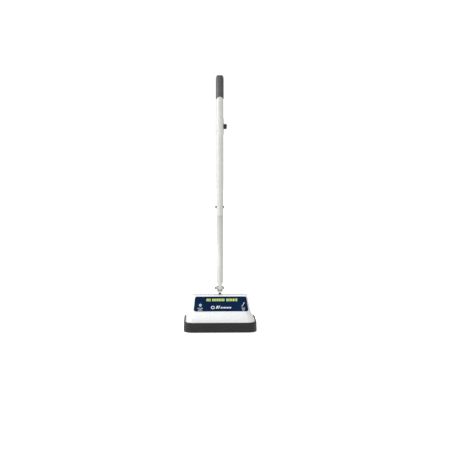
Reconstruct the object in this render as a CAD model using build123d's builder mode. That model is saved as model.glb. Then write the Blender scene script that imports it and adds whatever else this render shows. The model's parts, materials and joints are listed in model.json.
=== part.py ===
from build123d import *
import math
import os

# Twin-brush floor polisher: a low head on two counter-rotating brushes, with an upright two-piece
# tube handle that folds back on a forked pivot. Units are millimetres. +Z is up, -Y is the front
# (the side with the label), and the origin is on the floor under the middle of the head.

os.makedirs("parts", exist_ok=True)

# ---- driving dimensions ----------------------------------------------------------------------

FLOOR_GAP = 5.0  # under the bumper
BUMPER_W, BUMPER_D, BUMPER_H = 345.0, 249.0, 46.0
BUMPER_R, BUMPER_WALL, BUMPER_TAPER = 44.0, 12.0, 1.5
BUMPER_TOP = FLOOR_GAP + BUMPER_H

WALL = 3.0  # housing wall
FLANGE_W, FLANGE_D, FLANGE_R, FLANGE_H = 324.0, 238.0, 36.0, 7.0
HIP_LOW_W, HIP_LOW_D, HIP_LOW_R = 317.0, 223.0, 30.0  # where the wall leaves the flange
HIP_W, HIP_D, HIP_R, HIP_Z = 286.0, 194.0, 27.0, 97.0  # where wall and panel meet
ROOF_W, ROOF_D, ROOF_R, ROOF_Z = 260.0, 66.0, 16.0, 167.0
ROOF_ROUND = 7.0
FLANGE_Z = BUMPER_TOP + FLANGE_H

DECK_Z, DECK_T = 46.0, 5.0
DECK_TOP = DECK_Z + DECK_T
FIT = 0.2  # gap between mouldings that drop into each other

SPINDLE_X = 80.0
SPINDLE_R = 6.0
RUNNING = 0.03  # radial gap of a shaft in its bearing
BRUSH_R, BRUSH_INNER_R, BRUSH_ROOT_R = 76.0, 46.0, 71.0
BRISTLE_H, BLOCK_T, BLOCK_R = 22.0, 12.0, 73.0

MODULE, FINE_MODULE = 2.0, 1.0
DRIVE_TEETH, MID_TEETH, WHEEL_TEETH, PINION_TEETH = 60, 15, 66, 14
GEAR_Z, GEAR_T = 56.0, 10.0
WHEEL_Z, WHEEL_T = 69.0, 6.0
COVER_Z, COVER_T = 78.0, 4.0
COVER_TOP = COVER_Z + COVER_T
AXLE_R = 4.0

TUBE_R, TUBE_WALL = 15.9, 1.5
PIVOT_Z = 198.0
TONGUE_W, TONGUE_D, TONGUE_R = 17.4, 40.0, 12.0
JOINT_Z, JOINT_BOLT_Z, JOINT_OVERLAP = 544.0, 585.0, 81.0
GRIP_R, GRIP_BOTTOM, HANDLE_TOP = 18.2, 1093.0, 1204.0
CASE_R, CASE_BOTTOM, CASE_TOP = 18.7, 924.0, 1004.0
SWITCH_Z = 964.5
GLAND_Z = 937.0

# ---- helpers ---------------------------------------------------------------------------------


def finish(piece, node):
    """Labels one finished sub-part and writes it to the STEP file of its node."""
    piece.part.label = node
    export_step(piece.part, f"parts/{node}.step")


def level(z, x=0.0, y=0.0):
    """Horizontal plane whose origin is that place."""
    return Plane(origin=(x, y, z))


def facing_right(x, y, z):
    """Upright plane that looks along +X, with its own x along +Y and its own y along +Z."""
    return Plane(origin=(x, y, z), x_dir=(0, 1, 0), z_dir=(1, 0, 0))


def facing_front(x, y, z):
    """Upright plane that looks along -Y, with its own x along +X and its own y along +Z."""
    return Plane(origin=(x, y, z), x_dir=(1, 0, 0), z_dir=(0, -1, 0))


def disc(z, height, radius, x=0.0, y=0.0, mode=Mode.ADD):
    """Upright cylinder from z, added to or cut from the part in hand."""
    with BuildSketch(level(z, x, y)) as outline:
        Circle(radius)
    extrude(outline.sketch, amount=height, mode=mode)


def ring(z, height, outer, inner, x=0.0, y=0.0, mode=Mode.ADD):
    """Upright tube section from z."""
    with BuildSketch(level(z, x, y)) as outline:
        Circle(outer)
        Circle(inner, mode=Mode.SUBTRACT)
    extrude(outline.sketch, amount=height, mode=mode)


def rounded_block(z, height, width, depth, radius, mode=Mode.ADD, y=0.0):
    """Upright block with rounded corners, centred on the Z axis."""
    with BuildSketch(level(z, 0, y)) as outline:
        RectangleRounded(width, depth, radius)
    extrude(outline.sketch, amount=height, mode=mode)


def cross_hole(radius, z, reach=40.0, y=0.0):
    """Hole along X right through the part in hand."""
    with BuildSketch(facing_right(-reach, y, z)) as outline:
        Circle(radius)
    extrude(outline.sketch, amount=2 * reach, mode=Mode.SUBTRACT)


# ---- gears -----------------------------------------------------------------------------------


def involute(angle):
    return math.tan(angle) - angle


def gear_points(teeth, module, phase):
    """Outline of a spur gear with 20 degree involute flanks drawn as short chords."""
    pressure = math.radians(20)
    pitch_r = teeth * module / 2
    base_r = pitch_r * math.cos(pressure)
    tip_r = pitch_r + 0.85 * module
    root_r = pitch_r - 1.25 * module
    half_tooth = math.pi / (2 * teeth) - 0.10 * module / pitch_r
    start_r = max(base_r, root_r)
    steps = 4
    flank = []
    for i in range(steps + 1):
        r = start_r + (tip_r - start_r) * i / steps
        roll = math.acos(min(1.0, base_r / r))
        flank.append((r, half_tooth + involute(pressure) - involute(roll)))
    if root_r < start_r:
        flank.insert(0, (root_r, flank[0][1]))
    points = []
    for tooth in range(teeth):
        middle = phase + 2 * math.pi * tooth / teeth
        rising = [(r, middle - a) for r, a in flank]
        falling = [(r, middle + a) for r, a in reversed(flank)]
        points += [(r * math.cos(a), r * math.sin(a)) for r, a in rising + falling]
    return points


def meshing_phase(phase_a, teeth_a, teeth_b, direction):
    """Phase of gear b that puts its gap on gear a's tooth, where direction points from a to b."""
    share = (phase_a - direction) * teeth_a / (2 * math.pi)
    return direction + math.pi + (0.5 - share) * 2 * math.pi / teeth_b


def gear_rim(z, height, teeth, module, phase, x, y):
    """Toothed disc from z, added to the part in hand."""
    with BuildSketch(level(z, x, y)) as outline:
        with BuildLine():
            Polyline(*gear_points(teeth, module, phase), close=True)
        make_face()
    extrude(outline.sketch, amount=height)


# The two drive gears are too far apart to mesh, so a compound gear and an idler stand between
# them in front of the middle, and the motor's pinion turns the compound gear's fine wheel.
MID_X = MID_TEETH * MODULE / 2
MID_REACH = (DRIVE_TEETH + MID_TEETH) * MODULE / 2
MID_Y = -math.sqrt(MID_REACH**2 - (SPINDLE_X - MID_X) ** 2)
FINE_REACH = (WHEEL_TEETH + PINION_TEETH) * FINE_MODULE / 2
MOTOR_Y = MID_Y + math.sqrt(FINE_REACH**2 - MID_X**2)

PINION_PHASE = 0.0
WHEEL_PHASE = meshing_phase(
    PINION_PHASE, PINION_TEETH, WHEEL_TEETH, math.atan2(MID_Y - MOTOR_Y, -MID_X)
)
COMPOUND_PHASE = 0.0
IDLER_PHASE = meshing_phase(COMPOUND_PHASE, MID_TEETH, MID_TEETH, 0.0)
LEFT_PHASE = meshing_phase(
    COMPOUND_PHASE, MID_TEETH, DRIVE_TEETH, math.atan2(-MID_Y, MID_X - SPINDLE_X)
)
RIGHT_PHASE = meshing_phase(
    IDLER_PHASE, MID_TEETH, DRIVE_TEETH, math.atan2(-MID_Y, SPINDLE_X - MID_X)
)

# ---- bumper ----------------------------------------------------------------------------------

GROOVE_Z, GROOVE_H, GROOVE_DEPTH = 27.5, 1.4, 0.8
CAVITY_W, CAVITY_D = BUMPER_W - 2 * BUMPER_WALL, BUMPER_D - 2 * BUMPER_WALL
CAVITY_R = BUMPER_R - BUMPER_WALL

with BuildPart() as bumper:
    with BuildSketch(level(FLOOR_GAP)):
        RectangleRounded(BUMPER_W, BUMPER_D, BUMPER_R)
    extrude(amount=BUMPER_H, taper=BUMPER_TAPER)
    fillet(bumper.faces().sort_by(Axis.Z)[-1].edges(), 3.0)
    fillet(bumper.faces().sort_by(Axis.Z)[0].edges(), 2.5)
    rounded_block(FLOOR_GAP, BUMPER_H, CAVITY_W, CAVITY_D, CAVITY_R, mode=Mode.SUBTRACT)
    with BuildSketch(level(GROOVE_Z)):
        RectangleRounded(BUMPER_W + 4, BUMPER_D + 4, BUMPER_R + 2)
        RectangleRounded(
            BUMPER_W - 2 * GROOVE_DEPTH - 1,
            BUMPER_D - 2 * GROOVE_DEPTH - 1,
            BUMPER_R - GROOVE_DEPTH - 0.5,
            mode=Mode.SUBTRACT,
        )
    extrude(amount=GROOVE_H, mode=Mode.SUBTRACT)
finish(bumper, "bumper")

# ---- housing ---------------------------------------------------------------------------------

BOSS_X, BOSS_Y, BOSS_R, BOSS_H = 138.0, 90.0, 5.0, 27.0
SCREW_R = 1.9
STUD_R = 5.0
VENT_COUNT, VENT_PITCH, VENT_W, VENT_GAP, VENT_X = 7, 9.0, 3.2, 62.0, 62.0
SLOPE = math.atan2(ROOF_Z - HIP_Z, (HIP_D - ROOF_D) / 2)


def panel_plane(share, side):
    """Plane lying on the front (side -1) or back (side 1) panel, that share of the way up."""
    y = side * (HIP_D - share * (HIP_D - ROOF_D)) / 2
    z = HIP_Z + share * (ROOF_Z - HIP_Z)
    normal = (0, side * math.sin(SLOPE), math.cos(SLOPE))
    return Plane(origin=(0, y, z), x_dir=(-side, 0, 0), z_dir=normal)


def housing_form(inset, low_z, cut=False):
    """Battered lower walls under sloping panels, with a soft bend where they meet."""
    low = (low_z, HIP_LOW_W, HIP_LOW_D, HIP_LOW_R)
    hip = (HIP_Z, HIP_W, HIP_D, HIP_R)
    roof = (ROOF_Z - (inset + 1 if cut else 0), ROOF_W, ROOF_D, ROOF_R)
    before = [h + 0.15 * (a - h) for h, a in zip(hip, low)]
    after = [h + 0.06 * (b - h) for h, b in zip(hip, roof)]
    outlines = [low]
    for step in range(5):
        t = step / 4
        bend = [(1 - t) ** 2 * a + 2 * t * (1 - t) * h + t * t * b for a, h, b in zip(before, hip, after)]
        outlines.append(bend)
    outlines.append(roof)
    sections = []
    for z, width, depth, radius in outlines:
        with BuildSketch(level(z)) as outline:
            RectangleRounded(width - 2 * inset, depth - 2 * inset, radius - inset)
        sections.append(outline.sketch.face())
    loft(sections, ruled=True, mode=Mode.SUBTRACT if cut else Mode.ADD)


with BuildPart() as flange:
    rounded_block(BUMPER_TOP, FLANGE_H, FLANGE_W, FLANGE_D, FLANGE_R)
    fillet(flange.faces().sort_by(Axis.Z)[-1].edges(), 2.2)

with BuildPart() as housing:
    housing_form(0.0, FLANGE_Z)
    roof_edges = housing.faces().sort_by(Axis.Z)[-1].edges()
    fillet(roof_edges, ROOF_ROUND)
    add(flange.part)
    housing_form(WALL, FLANGE_Z - 0.5, cut=True)
    rounded_block(
        BUMPER_TOP, FLANGE_H, HIP_LOW_W - 2 * WALL, HIP_LOW_D - 2 * WALL,
        HIP_LOW_R - WALL, mode=Mode.SUBTRACT,
    )
    for x in (-BOSS_X, BOSS_X):
        for y in (-BOSS_Y, BOSS_Y):
            ring(DECK_TOP, BOSS_H, BOSS_R, SCREW_R - 0.3, x, y)
    disc(ROOF_Z - 10, 12, STUD_R + 0.1, mode=Mode.SUBTRACT)
    for row in range(VENT_COUNT):
        share = 0.22 + row * VENT_PITCH * math.sin(SLOPE) / (ROOF_Z - HIP_Z)
        with BuildSketch(panel_plane(share, 1)):
            with Locations((-VENT_X, 0), (VENT_X, 0)):
                SlotOverall(VENT_GAP, VENT_W)
        extrude(amount=-9, mode=Mode.SUBTRACT)
finish(housing, "housing")

# ---- label plate -----------------------------------------------------------------------------

LABEL_T = 0.8
LABEL_LOW_W, LABEL_TOP_W, LABEL_H, LABEL_R = 258.0, 242.0, 83.0, 10.0
LABEL_SHARE, LABEL_SHIFT = 0.49, 3.5

with BuildPart() as label_plate:
    with BuildSketch(panel_plane(LABEL_SHARE, -1)) as label_outline:
        with BuildLine():
            Polyline(
                (LABEL_SHIFT - LABEL_LOW_W / 2, -LABEL_H / 2),
                (LABEL_SHIFT + LABEL_LOW_W / 2, -LABEL_H / 2),
                (LABEL_SHIFT + LABEL_TOP_W / 2, LABEL_H / 2),
                (LABEL_SHIFT - LABEL_TOP_W / 2, LABEL_H / 2),
                close=True,
            )
        make_face()
        fillet(label_outline.vertices(), LABEL_R)
    extrude(amount=LABEL_T)
finish(label_plate, "label_plate")

# ---- deck, with the brush bay under it and the gear tray on it ---------------------------------

SKIRT_WALL, SKIRT_Z = 3.0, 14.0
DECK_W, DECK_D, DECK_R = CAVITY_W - 2 * FIT, CAVITY_D - 2 * FIT, CAVITY_R - FIT
BEARING_R, BEARING_H = 14.0, 8.0
SEAT_R = 18.0
LOW_BEARING_Z = DECK_Z
HIGH_BEARING_Z = COVER_Z - BEARING_H
POSTS = [(-112, -62), (112, -62), (-112, 62), (112, 62), (0, 62), (0, -78)]
POST_R = 5.0

with BuildPart() as deck:
    rounded_block(DECK_Z, DECK_T, DECK_W, DECK_D, DECK_R)
    rounded_block(SKIRT_Z, DECK_Z - SKIRT_Z, DECK_W, DECK_D, DECK_R)
    rounded_block(
        SKIRT_Z, DECK_Z - SKIRT_Z, DECK_W - 2 * SKIRT_WALL, DECK_D - 2 * SKIRT_WALL,
        DECK_R - SKIRT_WALL, mode=Mode.SUBTRACT,
    )
    for x in (-SPINDLE_X, SPINDLE_X):
        disc(DECK_Z - 1, BEARING_H + 1, SEAT_R, x)
        disc(DECK_Z, BEARING_H + 1, BEARING_R, x, mode=Mode.SUBTRACT)
        disc(DECK_Z - 2, 4, BEARING_R - 3, x, mode=Mode.SUBTRACT)
    for x, y in POSTS:
        ring(DECK_TOP, COVER_Z - DECK_TOP, POST_R, SCREW_R - 0.3, x, y)
    for x in (-MID_X, MID_X):
        disc(DECK_Z, DECK_T, AXLE_R, x, MID_Y, mode=Mode.SUBTRACT)
    for x in (-BOSS_X, BOSS_X):
        for y in (-BOSS_Y, BOSS_Y):
            disc(DECK_Z, DECK_T, SCREW_R + 0.3, x, y, mode=Mode.SUBTRACT)
finish(deck, "deck")

# ---- gear cover --------------------------------------------------------------------------------

COVER_W, COVER_D, COVER_SHIFT = 244.0, 160.0, -8.0
MOTOR_BOLTS = [
    (40.2 * math.cos(a), MOTOR_Y + 40.2 * math.sin(a))
    for a in (math.radians(45 + 90 * i) for i in range(4))
]
MOTOR_BOLT_R = 1.7

with BuildPart() as gear_cover:
    rounded_block(COVER_Z, COVER_T, COVER_W, COVER_D, 16, y=COVER_SHIFT)
    for x in (-SPINDLE_X, SPINDLE_X):
        ring(HIGH_BEARING_Z, BEARING_H, SEAT_R, BEARING_R, x)
    disc(COVER_Z, COVER_T, 11, 0, MOTOR_Y, mode=Mode.SUBTRACT)
    disc(COVER_Z, COVER_T, AXLE_R, -MID_X, MID_Y, mode=Mode.SUBTRACT)
    for x, y in POSTS:
        disc(COVER_Z, COVER_T, SCREW_R + 0.3, x, y, mode=Mode.SUBTRACT)
    for x, y in MOTOR_BOLTS:
        disc(COVER_Z, COVER_T, MOTOR_BOLT_R, x, y, mode=Mode.SUBTRACT)
finish(gear_cover, "gear_cover")


# ---- screws and bearings -------------------------------------------------------------------------


def pan_screw(top_z, length, shank, x, y, up=1):
    """Upright screw whose pan head bears on top_z; up is 1 with the head on top, -1 with it below."""
    head_r, head_h = shank * 2, shank * 1.2
    disc(top_z if up > 0 else top_z - head_h, head_h, head_r, x, y)
    disc(top_z - length if up > 0 else top_z, length, shank, x, y)
    slot_z = top_z + head_h if up > 0 else top_z - head_h
    with BuildSketch(level(slot_z, x, y)) as recess:
        Rectangle(head_r * 1.2, shank * 0.4)
        Rectangle(shank * 0.4, head_r * 1.2)
    extrude(recess.sketch, amount=-up * head_h * 0.6, mode=Mode.SUBTRACT)


with BuildPart() as housing_screws:
    for x in (-BOSS_X, BOSS_X):
        for y in (-BOSS_Y, BOSS_Y):
            pan_screw(DECK_Z, DECK_T + 14, SCREW_R - 0.3, x, y, up=-1)
finish(housing_screws, "housing_screws")

with BuildPart() as cover_screws:
    for x, y in POSTS:
        pan_screw(COVER_TOP, 16, SCREW_R - 0.3, x, y)
finish(cover_screws, "cover_screws")


def ball_bearing(z, height, outer, inner, x=0.0, y=0.0):
    """Shielded ball bearing: two races joined by a shield that is sunk at both faces."""
    race = (outer - inner) * 0.28
    ring(z, height, outer, outer - race, x, y)
    ring(z, height, inner + race, inner, x, y)
    ring(z + 0.8, height - 1.6, outer - race, inner + race, x, y)


with BuildPart() as lower_spindle_bearings:
    for x in (-SPINDLE_X, SPINDLE_X):
        ball_bearing(LOW_BEARING_Z, BEARING_H, BEARING_R, SPINDLE_R, x)
finish(lower_spindle_bearings, "lower_spindle_bearings")

with BuildPart() as upper_spindle_bearings:
    for x in (-SPINDLE_X, SPINDLE_X):
        ball_bearing(HIGH_BEARING_Z, BEARING_H, BEARING_R, SPINDLE_R, x)
finish(upper_spindle_bearings, "upper_spindle_bearings")

with BuildPart() as gear_axles:
    disc(DECK_Z, COVER_TOP - DECK_Z, AXLE_R, -MID_X, MID_Y)
    disc(DECK_TOP, GEAR_Z - DECK_TOP - 0.4, AXLE_R + 2.5, -MID_X, MID_Y)
    disc(DECK_Z, WHEEL_Z - 1.4 - DECK_Z, AXLE_R, MID_X, MID_Y)
    disc(DECK_TOP, GEAR_Z - DECK_TOP - 0.4, AXLE_R + 2.5, MID_X, MID_Y)
finish(gear_axles, "gear_axles")

# ---- gears ---------------------------------------------------------------------------------------

with BuildPart() as compound_gear:
    gear_rim(GEAR_Z, GEAR_T, MID_TEETH, MODULE, COMPOUND_PHASE, -MID_X, MID_Y)
    disc(GEAR_Z + GEAR_T, WHEEL_Z - GEAR_Z - GEAR_T, 9, -MID_X, MID_Y)
    gear_rim(WHEEL_Z, WHEEL_T, WHEEL_TEETH, FINE_MODULE, WHEEL_PHASE, -MID_X, MID_Y)
    ring(WHEEL_Z + WHEEL_T - 2, 2, 27, 11, -MID_X, MID_Y, mode=Mode.SUBTRACT)
    disc(GEAR_Z, 30, AXLE_R + RUNNING, -MID_X, MID_Y, mode=Mode.SUBTRACT)
finish(compound_gear, "compound_gear")

with BuildPart() as idler_gear:
    gear_rim(GEAR_Z, GEAR_T, MID_TEETH, MODULE, IDLER_PHASE, MID_X, MID_Y)
    disc(GEAR_Z, 30, AXLE_R + RUNNING, MID_X, MID_Y, mode=Mode.SUBTRACT)
finish(idler_gear, "idler_gear")

# ---- brush drives: spindle, drive gear, collar, and the brush that plugs onto each ----------------

HEX_R, HEX_Z = 6.4, 27.0
SPINDLE_TOP = HIGH_BEARING_Z + BEARING_H - 0.5
HUB_FLANGE_R, HUB_BOSS_R = 23.0, 15.0
BLOCK_Z = BRISTLE_H
BLOCK_TOP = BLOCK_Z + BLOCK_T
HUB_TOP = 43.0
SOCKET_GAP = 0.25

for side, x, phase in (("left", -SPINDLE_X, LEFT_PHASE), ("right", SPINDLE_X, RIGHT_PHASE)):
    with BuildPart() as spindle:
        with BuildSketch(level(HEX_Z, x)):
            RegularPolygon(HEX_R, 6)
        extrude(amount=DECK_Z - 1.5 - HEX_Z)
        disc(DECK_Z - 1.5, SPINDLE_TOP - DECK_Z + 1.5, SPINDLE_R - RUNNING, x)
        ring(HEX_Z + 3, 1.6, HEX_R + 1, 5.0, x, mode=Mode.SUBTRACT)
        chamfer(spindle.faces().sort_by(Axis.Z)[0].edges(), 0.8)
    finish(spindle, f"{side}_spindle")

    with BuildPart() as drive_gear:
        gear_rim(GEAR_Z, GEAR_T, DRIVE_TEETH, MODULE, phase, x, 0)
        ring(GEAR_Z, 2.5, 53, 15, x, mode=Mode.SUBTRACT)
        ring(GEAR_Z + GEAR_T - 2.5, 2.5, 53, 15, x, mode=Mode.SUBTRACT)
        with BuildSketch(level(GEAR_Z, x)):
            with PolarLocations(34, 6):
                Circle(9)
        extrude(amount=GEAR_T, mode=Mode.SUBTRACT)
        disc(GEAR_Z, GEAR_T, SPINDLE_R - RUNNING, x, mode=Mode.SUBTRACT)
    finish(drive_gear, f"{side}_drive_gear")

    with BuildPart() as spindle_collar:
        ring(GEAR_Z + GEAR_T, HIGH_BEARING_Z - GEAR_Z - GEAR_T - 0.4, 10, SPINDLE_R - RUNNING, x)
    finish(spindle_collar, f"{side}_spindle_collar")

    with BuildPart() as brush_block:
        disc(BLOCK_Z, BLOCK_T, BLOCK_R, x)
        fillet(brush_block.faces().sort_by(Axis.Z)[-1].edges(), 4)
        fillet(brush_block.faces().sort_by(Axis.Z)[0].edges(), 1.5)
        disc(BLOCK_Z, BLOCK_T, HUB_BOSS_R, x, mode=Mode.SUBTRACT)
    finish(brush_block, f"{side}_brush_block")

    with BuildPart() as brush_hub:
        disc(BLOCK_Z - 2, BLOCK_T + 2, HUB_BOSS_R, x)
        disc(BLOCK_TOP, 3, HUB_FLANGE_R, x)
        disc(BLOCK_TOP + 3, HUB_TOP - BLOCK_TOP - 3, 13, x)
        fillet(brush_hub.faces().sort_by(Axis.Z)[-1].edges(), 1.5)
        with BuildSketch(level(HEX_Z - 1.5, x)):
            RegularPolygon(HEX_R + SOCKET_GAP, 6)
        extrude(amount=20, mode=Mode.SUBTRACT)
        disc(BLOCK_Z - 2, 8, 3.5, x, mode=Mode.SUBTRACT)
        for angle in (0, 180):
            lug = math.radians(angle)
            with BuildSketch(level(BLOCK_Z - 2, x + 10.5 * math.cos(lug), 10.5 * math.sin(lug))):
                SlotOverall(7, 3, rotation=90)
            extrude(amount=4, mode=Mode.SUBTRACT)
    finish(brush_hub, f"{side}_brush_hub")

    with BuildPart() as bristles:
        with BuildSketch(Plane(origin=(x, 0, 0), x_dir=(1, 0, 0), z_dir=(0, -1, 0))):
            with BuildLine():
                Polyline(
                    (BRUSH_INNER_R, 0), (BRUSH_R, 0), (BRUSH_ROOT_R, BRISTLE_H),
                    (BRUSH_INNER_R + 2, BRISTLE_H), close=True,
                )
            make_face()
        revolve(axis=Axis((x, 0, 0), (0, 0, 1)))
    finish(bristles, f"{side}_bristles")

# ---- motor: frames, field and brush gear ---------------------------------------------------------

FIELD_Z, FIELD_H, FIELD_R = 95.0, 30.0, 43.0
YOKE_R = 37.6  # inner radius of the field yoke
FRAME_TOP = 149.0
SHAFT_R = 4.0
MOTOR_BEARING_R, MOTOR_BEARING_H = 11.0, 7.0
ARMATURE_R, ARMATURE_Z, ARMATURE_H = 22.0, 97.0, 26.0
COMMUTATOR_Z, COMMUTATOR_H, COMMUTATOR_R = 129.5, 9.0, 10.0


def bolt_holes(z, height):
    """Clears the four long motor screws through the part in hand."""
    for x, y in MOTOR_BOLTS:
        disc(z, height, MOTOR_BOLT_R, x, y, mode=Mode.SUBTRACT)


with BuildPart() as motor_lower_frame:
    ring(COVER_TOP, FIELD_Z - COVER_TOP, FIELD_R, FIELD_R - 3, 0, MOTOR_Y)
    disc(COVER_TOP, 2, FIELD_R - 3, 0, MOTOR_Y)
    disc(COVER_TOP, MOTOR_BEARING_H - 0.5, MOTOR_BEARING_R + 3, 0, MOTOR_Y)
    for x, y in MOTOR_BOLTS:
        disc(COVER_TOP, FIELD_Z - COVER_TOP, 4, x, y)
    disc(COVER_TOP, MOTOR_BEARING_H, MOTOR_BEARING_R, 0, MOTOR_Y, mode=Mode.SUBTRACT)
    for i in range(8):
        angle = math.radians(22.5 + 45 * i)
        with BuildSketch(level(COVER_TOP, 24 * math.cos(angle), MOTOR_Y + 24 * math.sin(angle))):
            Circle(5)
        extrude(amount=2, mode=Mode.SUBTRACT)
    bolt_holes(COVER_TOP, 20)
finish(motor_lower_frame, "motor_lower_frame")

with BuildPart() as motor_upper_frame:
    ring(FIELD_Z + FIELD_H, 4, FIELD_R, YOKE_R, 0, MOTOR_Y)
    with BuildSketch(level(FIELD_Z + FIELD_H, 0, MOTOR_Y)):
        Rectangle(20, 2 * FIELD_R - 4)
        Circle(YOKE_R, mode=Mode.SUBTRACT)
    extrude(amount=FRAME_TOP - FIELD_Z - FIELD_H)
    with BuildSketch(level(FRAME_TOP - 6, 0, MOTOR_Y)):
        Rectangle(20, 2 * FIELD_R - 4)
        Circle(MOTOR_BEARING_R + 4)
    extrude(amount=6)
    disc(FRAME_TOP - 9, 9, MOTOR_BEARING_R + 3, 0, MOTOR_Y)
    disc(FRAME_TOP - 10, 9, MOTOR_BEARING_R, 0, MOTOR_Y, mode=Mode.SUBTRACT)
    bolt_holes(FIELD_Z + FIELD_H, 4)
finish(motor_upper_frame, "motor_upper_frame")

LOW_MOTOR_BEARING_Z = COVER_TOP
HIGH_MOTOR_BEARING_Z = FRAME_TOP - 1 - MOTOR_BEARING_H

with BuildPart() as motor_bearings:
    for z in (LOW_MOTOR_BEARING_Z, HIGH_MOTOR_BEARING_Z):
        ball_bearing(z, MOTOR_BEARING_H, MOTOR_BEARING_R, SHAFT_R, 0, MOTOR_Y)
finish(motor_bearings, "motor_bearings")

with BuildPart() as field_core:
    with BuildSketch(level(FIELD_Z, 0, MOTOR_Y)):
        Circle(FIELD_R)
        Circle(YOKE_R, mode=Mode.SUBTRACT)
        Rectangle(20, 2 * (FIELD_R - 5))
        with Locations((0, 26), (0, -26)):
            Rectangle(34, 4.4)
        Circle(ARMATURE_R + 1, mode=Mode.SUBTRACT)
    extrude(amount=FIELD_H)
    bolt_holes(FIELD_Z, FIELD_H)
finish(field_core, "field_core")

COIL_IN, COIL_OUT = 28.6, 36.0

with BuildPart() as field_coils:
    for side in (-1, 1):
        with BuildSketch(facing_front(0, MOTOR_Y, FIELD_Z + FIELD_H / 2)):
            RectangleRounded(36, FIELD_H + 8, 6)
            Rectangle(20.4, FIELD_H + 0.4, mode=Mode.SUBTRACT)
        extrude(amount=side * COIL_OUT)
    with BuildSketch(level(FIELD_Z - 10, 0, MOTOR_Y)):
        Rectangle(80, 2 * COIL_IN)
    extrude(amount=FIELD_H + 20, mode=Mode.SUBTRACT)
    with BuildSketch(level(FIELD_Z - 10, 0, MOTOR_Y)):
        Circle(YOKE_R - 0.4)
    extrude(amount=FIELD_H + 20, mode=Mode.INTERSECT)
finish(field_coils, "field_coils")

with BuildPart() as motor_screws:
    for x, y in MOTOR_BOLTS:
        pan_screw(FIELD_Z + FIELD_H + 4, FIELD_Z + FIELD_H + 4 - COVER_Z, MOTOR_BOLT_R, x, y)
finish(motor_screws, "motor_screws")

HOLDER_IN, HOLDER_OUT = 14.0, 30.0

with BuildPart() as carbon_brushes:
    for side in (-1, 1):
        with BuildSketch(facing_right(side * (COMMUTATOR_R + 0.3), MOTOR_Y, COMMUTATOR_Z + 4.5)):
            Rectangle(6, 5)
        extrude(amount=side * 14)
finish(carbon_brushes, "carbon_brushes")

with BuildPart() as brush_holders:
    for side in (-1, 1):
        with BuildSketch(facing_right(side * HOLDER_IN, MOTOR_Y, COMMUTATOR_Z + 4.5)):
            Rectangle(10, 9)
            Rectangle(6, 5, mode=Mode.SUBTRACT)
        extrude(amount=side * (HOLDER_OUT - HOLDER_IN))
        with BuildSketch(level(FIELD_Z + FIELD_H + 4, side * 36, MOTOR_Y)):
            Rectangle(12.5, 10)
        extrude(amount=COMMUTATOR_Z + 9 - FIELD_Z - FIELD_H - 4)
finish(brush_holders, "brush_holders")

# ---- motor: what turns ------------------------------------------------------------------------------

PINION_Z, PINION_H = 68.0, 9.0
FAN_Z = 89.2

with BuildPart() as motor_shaft:
    disc(PINION_Z - 1, FRAME_TOP - 1.5 - PINION_Z, SHAFT_R - RUNNING, 0, MOTOR_Y)
finish(motor_shaft, "motor_shaft")

with BuildPart() as motor_pinion:
    gear_rim(PINION_Z, PINION_H, PINION_TEETH, FINE_MODULE, PINION_PHASE, 0, MOTOR_Y)
    disc(PINION_Z, PINION_H, SHAFT_R - RUNNING, 0, MOTOR_Y, mode=Mode.SUBTRACT)
finish(motor_pinion, "motor_pinion")

with BuildPart() as cooling_fan:
    disc(FAN_Z, 1.4, 27, 0, MOTOR_Y)
    disc(FAN_Z, 4, 8, 0, MOTOR_Y)
    with BuildSketch(level(FAN_Z + 1.4, 0, MOTOR_Y)):
        with PolarLocations(17, 10):
            Rectangle(18, 1.6, rotation=25)
    extrude(amount=2.6)
    disc(85, 15, SHAFT_R - RUNNING, 0, MOTOR_Y, mode=Mode.SUBTRACT)
finish(cooling_fan, "cooling_fan")

SLOTS = 12

with BuildPart() as armature_core:
    disc(ARMATURE_Z, ARMATURE_H, ARMATURE_R, 0, MOTOR_Y)
    with BuildSketch(level(ARMATURE_Z, 0, MOTOR_Y)):
        with PolarLocations(18, SLOTS):
            Rectangle(9, 3.6)
    extrude(amount=ARMATURE_H, mode=Mode.SUBTRACT)
    disc(ARMATURE_Z, ARMATURE_H, SHAFT_R - RUNNING, 0, MOTOR_Y, mode=Mode.SUBTRACT)
finish(armature_core, "armature_core")

with BuildPart() as armature_windings:
    with BuildSketch(level(ARMATURE_Z, 0, MOTOR_Y)):
        with PolarLocations(17.2, SLOTS):
            Rectangle(6, 3)
    extrude(amount=ARMATURE_H)
    ring(ARMATURE_Z + ARMATURE_H, 5, 20.5, 7, 0, MOTOR_Y)
    ring(ARMATURE_Z - 3, 3, 20.5, 9, 0, MOTOR_Y)
finish(armature_windings, "armature_windings")

with BuildPart() as commutator:
    ring(ARMATURE_Z + ARMATURE_H + 5, 1.5, 8, SHAFT_R - RUNNING, 0, MOTOR_Y)
    ring(COMMUTATOR_Z, COMMUTATOR_H, COMMUTATOR_R, SHAFT_R - RUNNING, 0, MOTOR_Y)
    with BuildSketch(level(COMMUTATOR_Z, 0, MOTOR_Y)):
        with PolarLocations(COMMUTATOR_R, 24):
            Rectangle(1.6, 0.5)
    extrude(amount=COMMUTATOR_H, mode=Mode.SUBTRACT)
finish(commutator, "commutator")

# ---- handle pivot: fork on the roof ------------------------------------------------------------------

ARM_IN, ARM_OUT = 11.0, 16.0
ARM_HALF_DEPTH = 12.0
FORK_SADDLE_Z, FORK_FOOT_Z, FOOT_R = 185.0, 174.0, 6.5
PIVOT_BOLT_R = 4.0
WASHER_IN = TONGUE_W / 2 + 0.3
PLATE_Z, PLATE_T = 159.0, 4.0

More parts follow.
